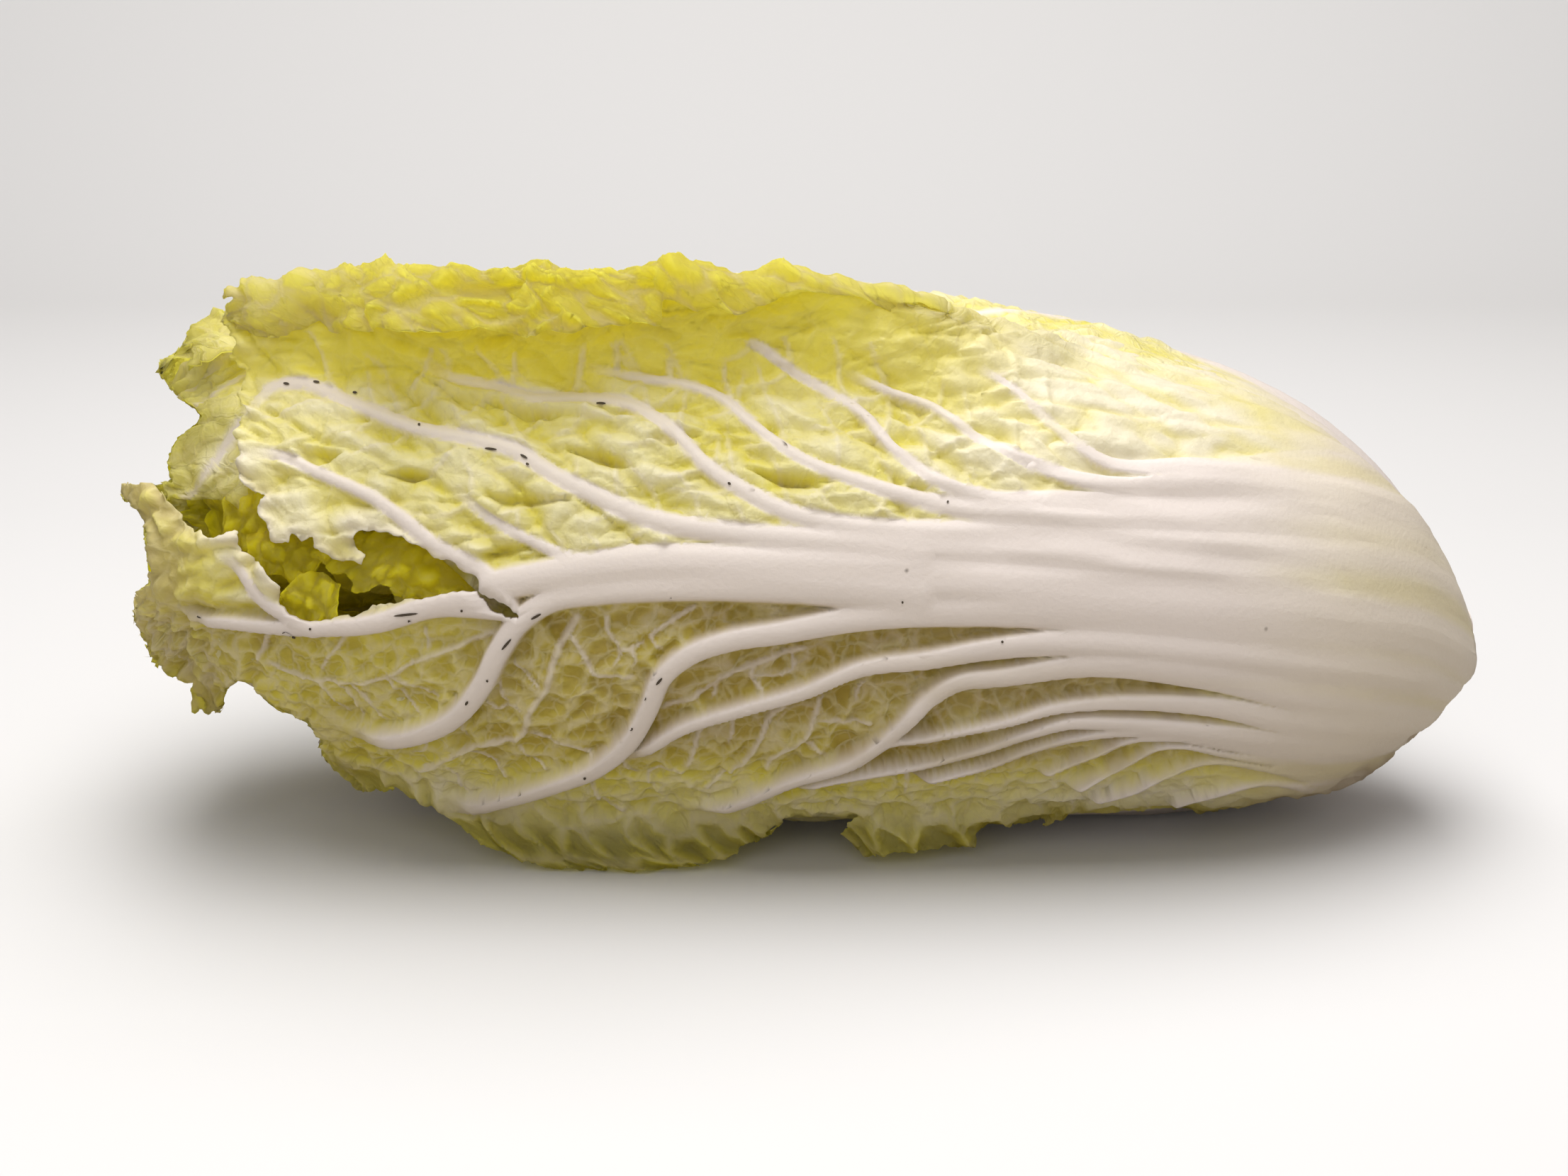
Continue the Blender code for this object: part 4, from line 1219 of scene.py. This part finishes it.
def leaf_surface(leaf, leaves, rows, columns):
    """A leaf that lies in the head, with a lobed outline, and how far the front leaf covers it."""
    t = 1 - (1 - np.linspace(0, 1, rows)) ** 1.5
    side = np.linspace(-1, 1, columns)
    seed = 100 + leaf.number
    lobes = noise(side * 0.08, 0 * side, 0.016, seed) + 0.5 * noise(side * 0.08, 0 * side, 0.006, seed + 1)
    short = leaf.number in SHORT_TIPS
    tip = leaf.tip + 0.020 * side**2 + (0.004 + 0.003 * short) * lobes
    x = leaf.base + (tip[None, :] - leaf.base) * t[:, None]
    notch = noise(x, 0 * x, 0.020, seed + 2) + 0.5 * noise(x, 0 * x, 0.007, seed + 4)
    span = HALF_SPAN - math.radians(3) + math.radians(3) * notch * smooth((0.12 - x) / 0.05)
    angle = leaf.centre + side[None, :] * span
    radius = leaf_radius(leaf, leaves, x, angle)
    seen = seen_angle(angle)
    window = smooth((math.radians(34) - np.abs(seen - math.radians(8))) / math.radians(8))
    covered = under_front(x, seen) * (1 - window * smooth((-0.056 - x) / 0.006))
    if leaf.number == FLARED_LEAF:
        beside = np.exp(-((seen_angle(angle - FLARE_AT[1]) / math.radians(30)) ** 2))
        radius = radius + FLARE * beside * np.exp(-(((x - FLARE_AT[0]) / 0.010) ** 2))
    return around(x, angle, radius - 0.0016 * covered), covered


def leaf_ribs(leaf, leaves, sheet, count):
    """How high and how white a leaf's veins are. One without drawn veins has a soft midrib."""
    x, u, v = sheet.points[..., 0], sheet.along, sheet.across
    if count:
        raised, white = vein_fields(sheet.points, grown_veins(leaf, leaves, count))
    else:
        t = u / u.max(axis=0)
        white = np.exp(-((v / (0.004 + 0.02 * (1 - t))) ** 2)) * (1 - 0.5 * t)
        raised = 0.002 * white
    petiole = petiole_share(x)
    return raised + (0.002 - raised) * 0.7 * petiole, np.maximum(white, petiole)


def leaf_field(leaf, sheet, outer):
    """How far inside its torn outline each point of a leaf is."""
    u, v, seed = sheet.along, sheet.across, 217 + 20 * leaf.number
    seen = as_seen(outer)
    jag = 0.0010 * noise(u, v, 0.005, seed) + 0.0005 * noise(u, v, 0.002, seed + 1)
    field = signed_distance(seen, MM * np.array(BEYOND_LEFT_END_MM)) + 0.5 * jag
    if leaf.number in SHORT_LEAVES_MM:
        field = np.minimum(field, signed_distance(seen, MM * np.array(SHORT_LEAVES_MM[leaf.number])) + jag)
    return field


def make_leaf(leaf, leaves, material, detail):
    surface, covered = leaf_surface(leaf, leaves, detail.rows, detail.columns)
    sheet = sheet_of(surface)
    x, u, v = surface[..., 0], sheet.along, sheet.across
    to_edge = np.minimum(np.abs(v).max(axis=1, keepdims=True) - np.abs(v), u.max(axis=0) - u)
    seed = 200 + 20 * leaf.number
    raised, white = leaf_ribs(leaf, leaves, sheet, detail.veins)
    blade, calm = 1 - white, 1 - 0.6 * covered
    tip = smooth((leaf.tip + 0.040 - x) / 0.030)
    white, raised = white * (1 - 0.65 * tip), raised * (1 - 0.6 * tip)
    swelling = folds(u, v, math.radians(35), 0.016, 0.0050, seed)
    _, mesh_depth = net_of(u, v, 0.0075, 0.00055, seed + 4)
    large, small = knobs_of(u, v, 0.0080, 0.0022, seed + 5), knobs_of(u, v, 0.0036, 0.0011, seed + 7)
    knobs = 0.0024 * large + 0.0008 * small
    flesh = 0.0012 * swelling + 0.0008 * mesh_depth + 0.0007 * noise(u, v, 0.022, seed + 9) - 0.0008
    lift = blade * calm * flesh + raised * calm + tip * calm * (knobs - 0.0015)
    frill = np.exp(-np.clip(to_edge, 0, None) / 0.012) * smooth((0.1 - x) / 0.06) * (1 - 0.5 * covered)
    size = 1 if leaf.number in SHORT_TIPS else 0.6
    crumple = size * sum(frilled(sheet, high, across, seed + more) for high, across, more in LEAF_CRUMPLES)
    outer = surface + sheet.normals * lift[..., None] + crumple * frill[..., None]
    outer[..., 2] = np.maximum(outer[..., 2], 0.0)
    thick = (0.0006 + 0.9 * raised) * (0.6 + 0.4 * smooth(to_edge / 0.003))
    inner = outer - sheet.normals * (raised + thick)[..., None]
    inner[..., 2] = np.maximum(inner[..., 2], 0.0004)
    field = leaf_field(leaf, sheet, outer)
    edge = smooth((0.012 - np.clip(np.minimum(to_edge, field), 0, None)) / 0.012)
    attributes = {
        "white": np.clip(white, 0, 1),
        # Paler on the swellings and darker between them: painted light and shade.
        "light": np.clip(0.50 + 0.50 * swelling, 0, 1),
        "edge": np.clip(edge, 0, 1),
        "thin": 0.7 * edge,
        "net": 1 - petiole_share(x),
        "flat": np.stack([u, v, 0 * u + 0.1 * leaf.number], -1),
    }
    node = f"leaf_{leaf.number:02d}"
    name = f"{node}_{'outer' if leaf.number <= OUTER_LEAVES else 'heart'}"
    finished_leaf(name, node, (outer, inner), field, attributes, material, detail.triangles)


# ------------------------------------------------------------------ curled margins in the tear

# Curled margins of inner leaves, as the camera sees them, in millimetres: the leaf they belong to, the line
# they grow from, their free edge, how deep both lie behind the front leaf, and how high they bulge and frill.
CURLS_MM = (
    (9, ((-101, 14), (-94, 14), (-86, 12), (-79, 8), (-73, 3), (-69, -1)),
     ((-105, 6), (-101, 3), (-98, 2.5), (-95.5, -1.5), (-92, 0), (-88.5, 0.5), (-86, -2.5), (-82, -3.5),
      (-76, -4)), 6.5, 4.0, 1.8, 1.3),
    (12, ((-121, 12), (-116, 13), (-110, 12), (-103, 10)),
     ((-119, 6), (-115.5, 2.5), (-112, 1.5), (-109, -0.5), (-105, 3)), 8.5, 5.5, 1.4, 2.0),
    (17, ((-108, 3), (-104, 3.5), (-99, 0.5)),
     ((-113, -3), (-111, -7.5), (-106, -9), (-102, -8.5), (-99, -6.5)), 4.5, 2.4, 2.2, 1.2),
    (6, ((-126, 24), (-118, 26), (-108, 22)),
     ((-127, 10), (-121, 8), (-114, 8), (-107, 10)), 11.0, 9.5, 1.6, 1.0),
)
CURL_GRID, CURL_THICKNESS = (110, 44), 0.0005


def make_curl(number, root_mm, rim_mm, root_deep, rim_deep, bulge, frill, surface, material):
    """A frilly strip between two drawn lines, behind the front leaf."""
    along, across = CURL_GRID
    root, rim = (softened(drawn, count=along) for drawn in (root_mm, rim_mm))
    w = np.linspace(0, 1, across)[:, None]
    drawn = root + (rim - root) * w[..., None]
    base = laid_on(surface, drawn.reshape(-1, 2)).reshape(across, along, 3)
    deep = root_deep + (rim_deep - root_deep) * w - bulge * np.sin(math.pi * w)
    points = base + MM * deep[..., None] * SEEN_IN
    sheet = sheet_of(points)
    u, v, seed = sheet.along, sheet.across, 900 + 30 * number
    facing = np.sign((sheet.normals @ -SEEN_IN).mean())
    knobs = knobs_of(u, v, 0.0042, 0.0014, seed)
    lift = MM * (frill * w * noise(0.35 * u, v, 0.0058, seed + 5) + 1.5 * knobs)
    outer = points + (facing * sheet.normals) * lift[..., None]
    inner = outer - facing * sheet.normals * CURL_THICKNESS
    jag = 0.06 * noise(v, 0 * v, 0.004, seed + 8) + 0.03 * noise(v, 0 * v, 0.0016, seed + 9)
    kept = middles(1 - w + 0 * u - 0.05 + jag) > 0
    if facing < 0:
        outer, inner, kept, u, v, knobs = (grid[:, ::-1] for grid in (outer, inner, kept, u, v, knobs))
    attributes = {
        "white": 0 * u,
        # Pale on the knobs and dark in the valleys between them: painted light and shade.
        "light": np.clip(0.25 + 0.75 * knobs**2, 0, 1),
        "edge": 0.3 * smooth((w + 0 * u - 0.85) / 0.15),
        "thin": 0.6 + 0 * u,
        "net": 0.8 + 0 * u,
        "flat": np.stack([u, v, 0 * u + 0.05 * number], -1),
    }
    leaf_piece(leaf_mesh(f"leaf_{number:02d}_curl", outer, inner, kept, attributes), material)


# ------------------------------------------------------------------ floor and light

FLOOR_SIZE, FLOOR_BACK, WALL_BEND, WALL_HEIGHT = 3.0, 0.8, 0.5, 1.6
# The paper is near white, and throws less light back on the head than it shows. It glows a little far behind.
PAPER, PAPER_TO_OTHERS, PAPER_GLOW = (0.61, 0.605, 0.605), (0.44, 0.41, 0.36), (1.0, 0.985, 0.975)
GLOW_FROM, GLOW_TO, GLOW_STRENGTH = 0.3, 1.5, 0.25
LAMP_COLOUR, LAMPS_AIM = (1.0, 0.985, 0.97), Vector((0, 0, 0.05))
# Each lamp's name, place, size and watts.
LAMPS = (("key", (-0.02, 0.0, 1.0), (1.4, 0.8), 17.0), ("front", (-0.20, -1.10, 0.65), (1.2, 0.7), 3.0))
WORLD_COLOUR, WORLD_STRENGTH = (1.0, 0.98, 0.97, 1), 0.40


def make_backdrop_material():
    shading = Shading("backdrop")
    place = shading.node("ShaderNodeTexCoord").outputs["Object"]
    back = shading.node("ShaderNodeSeparateXYZ", Vector=place).outputs["Y"]
    seen = shading.node("ShaderNodeLightPath").outputs["Is Camera Ray"]
    glow = shading.ranged(back, GLOW_FROM, GLOW_TO, 0.0, GLOW_STRENGTH)
    paper = shading.node(
        "ShaderNodeBsdfPrincipled", Roughness=0.9, Specular_IOR_Level=0.0, Emission_Color=PAPER_GLOW,
        Base_Color=shading.mixed(seen, PAPER_TO_OTHERS, PAPER),
        Emission_Strength=shading.sums("MULTIPLY", glow, seen),
    )
    shading.node("ShaderNodeOutputMaterial", Surface=paper.outputs[0])
    return shading.material


def make_stage():
    """A sheet of paper that lies flat, then bends up into a wall behind."""
    profile = [(-FLOOR_SIZE, 0.0), (FLOOR_BACK, 0.0)]
    for i in range(1, 17):
        turn = math.pi / 2 * i / 16
        profile.append((FLOOR_BACK + WALL_BEND * math.sin(turn), WALL_BEND * (1 - math.cos(turn))))
    profile.append((FLOOR_BACK + WALL_BEND, WALL_HEIGHT))
    points = [(side * FLOOR_SIZE, y, z) for y, z in profile for side in (-1, 1)]
    faces = [(2 * i, 2 * i + 1, 2 * i + 3, 2 * i + 2) for i in range(len(profile) - 1)]
    mesh = bpy.data.meshes.new("backdrop")
    mesh.from_pydata(points, [], faces)
    mesh.shade_smooth()
    mesh.materials.append(make_backdrop_material())
    placed("backdrop", mesh)


def make_lamp(name, place, size, power):
    data = bpy.data.lights.new(name, "AREA")
    data.shape = "RECTANGLE"
    data.size, data.size_y = size
    data.energy = power
    data.color = LAMP_COLOUR
    lamp = placed(name, data)
    lamp.location = place
    lamp.rotation_euler = (LAMPS_AIM - lamp.location).to_track_quat("-Z", "Y").to_euler()


def make_world():
    world = bpy.data.worlds.new("studio")
    bpy.context.scene.world = world
    world.use_nodes = True
    background = world.node_tree.nodes["Background"]
    background.inputs["Color"].default_value = WORLD_COLOUR
    background.inputs["Strength"].default_value = WORLD_STRENGTH
    bpy.context.scene.view_settings.view_transform = "Standard"


def make_stem():
    """The stem keeps its CAD shape, in the petioles' colour, browned a little in patches."""
    shading = Shading("stem")
    place = shading.node("ShaderNodeTexCoord").outputs["Object"]
    patches = clouds(shading, place, 180.0, 4.0)["Fac"]
    browned = shading.mixed(shading.ranged(patches, 0.45, 0.75, 0.1, 0.6), VEIN_WHITE, CUT_BROWN)
    front = shading.node("ShaderNodeBsdfPrincipled", Base_Color=browned, Roughness=0.6)
    shading.node("ShaderNodeOutputMaterial", Surface=front.outputs[0])
    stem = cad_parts["stem"]
    stem.data.materials.clear()
    stem.data.materials.append(shading.material)


def main():
    make_camera()
    make_stage()
    make_world()
    for lamp in LAMPS:
        make_lamp(*lamp)
    leaves = list_leaves()
    outer = make_leaf_material("outer_leaf", OUTER_FLESH)
    inner = make_leaf_material("inner_leaf", INNER_FLESH)
    make_stem()
    front = make_front_leaf(leaves[0], outer)
    for curl in CURLS_MM:
        make_curl(*curl, front, inner)
    for leaf in leaves[1:OUTER_LEAVES]:
        make_leaf(leaf, leaves, outer, OUTER_DETAIL)
    for leaf in leaves[OUTER_LEAVES:]:
        detail = SHOWING_DETAIL if leaf.number in SHORT_TIPS else HIDDEN_DETAIL
        make_leaf(leaf, leaves, inner, detail)


main()
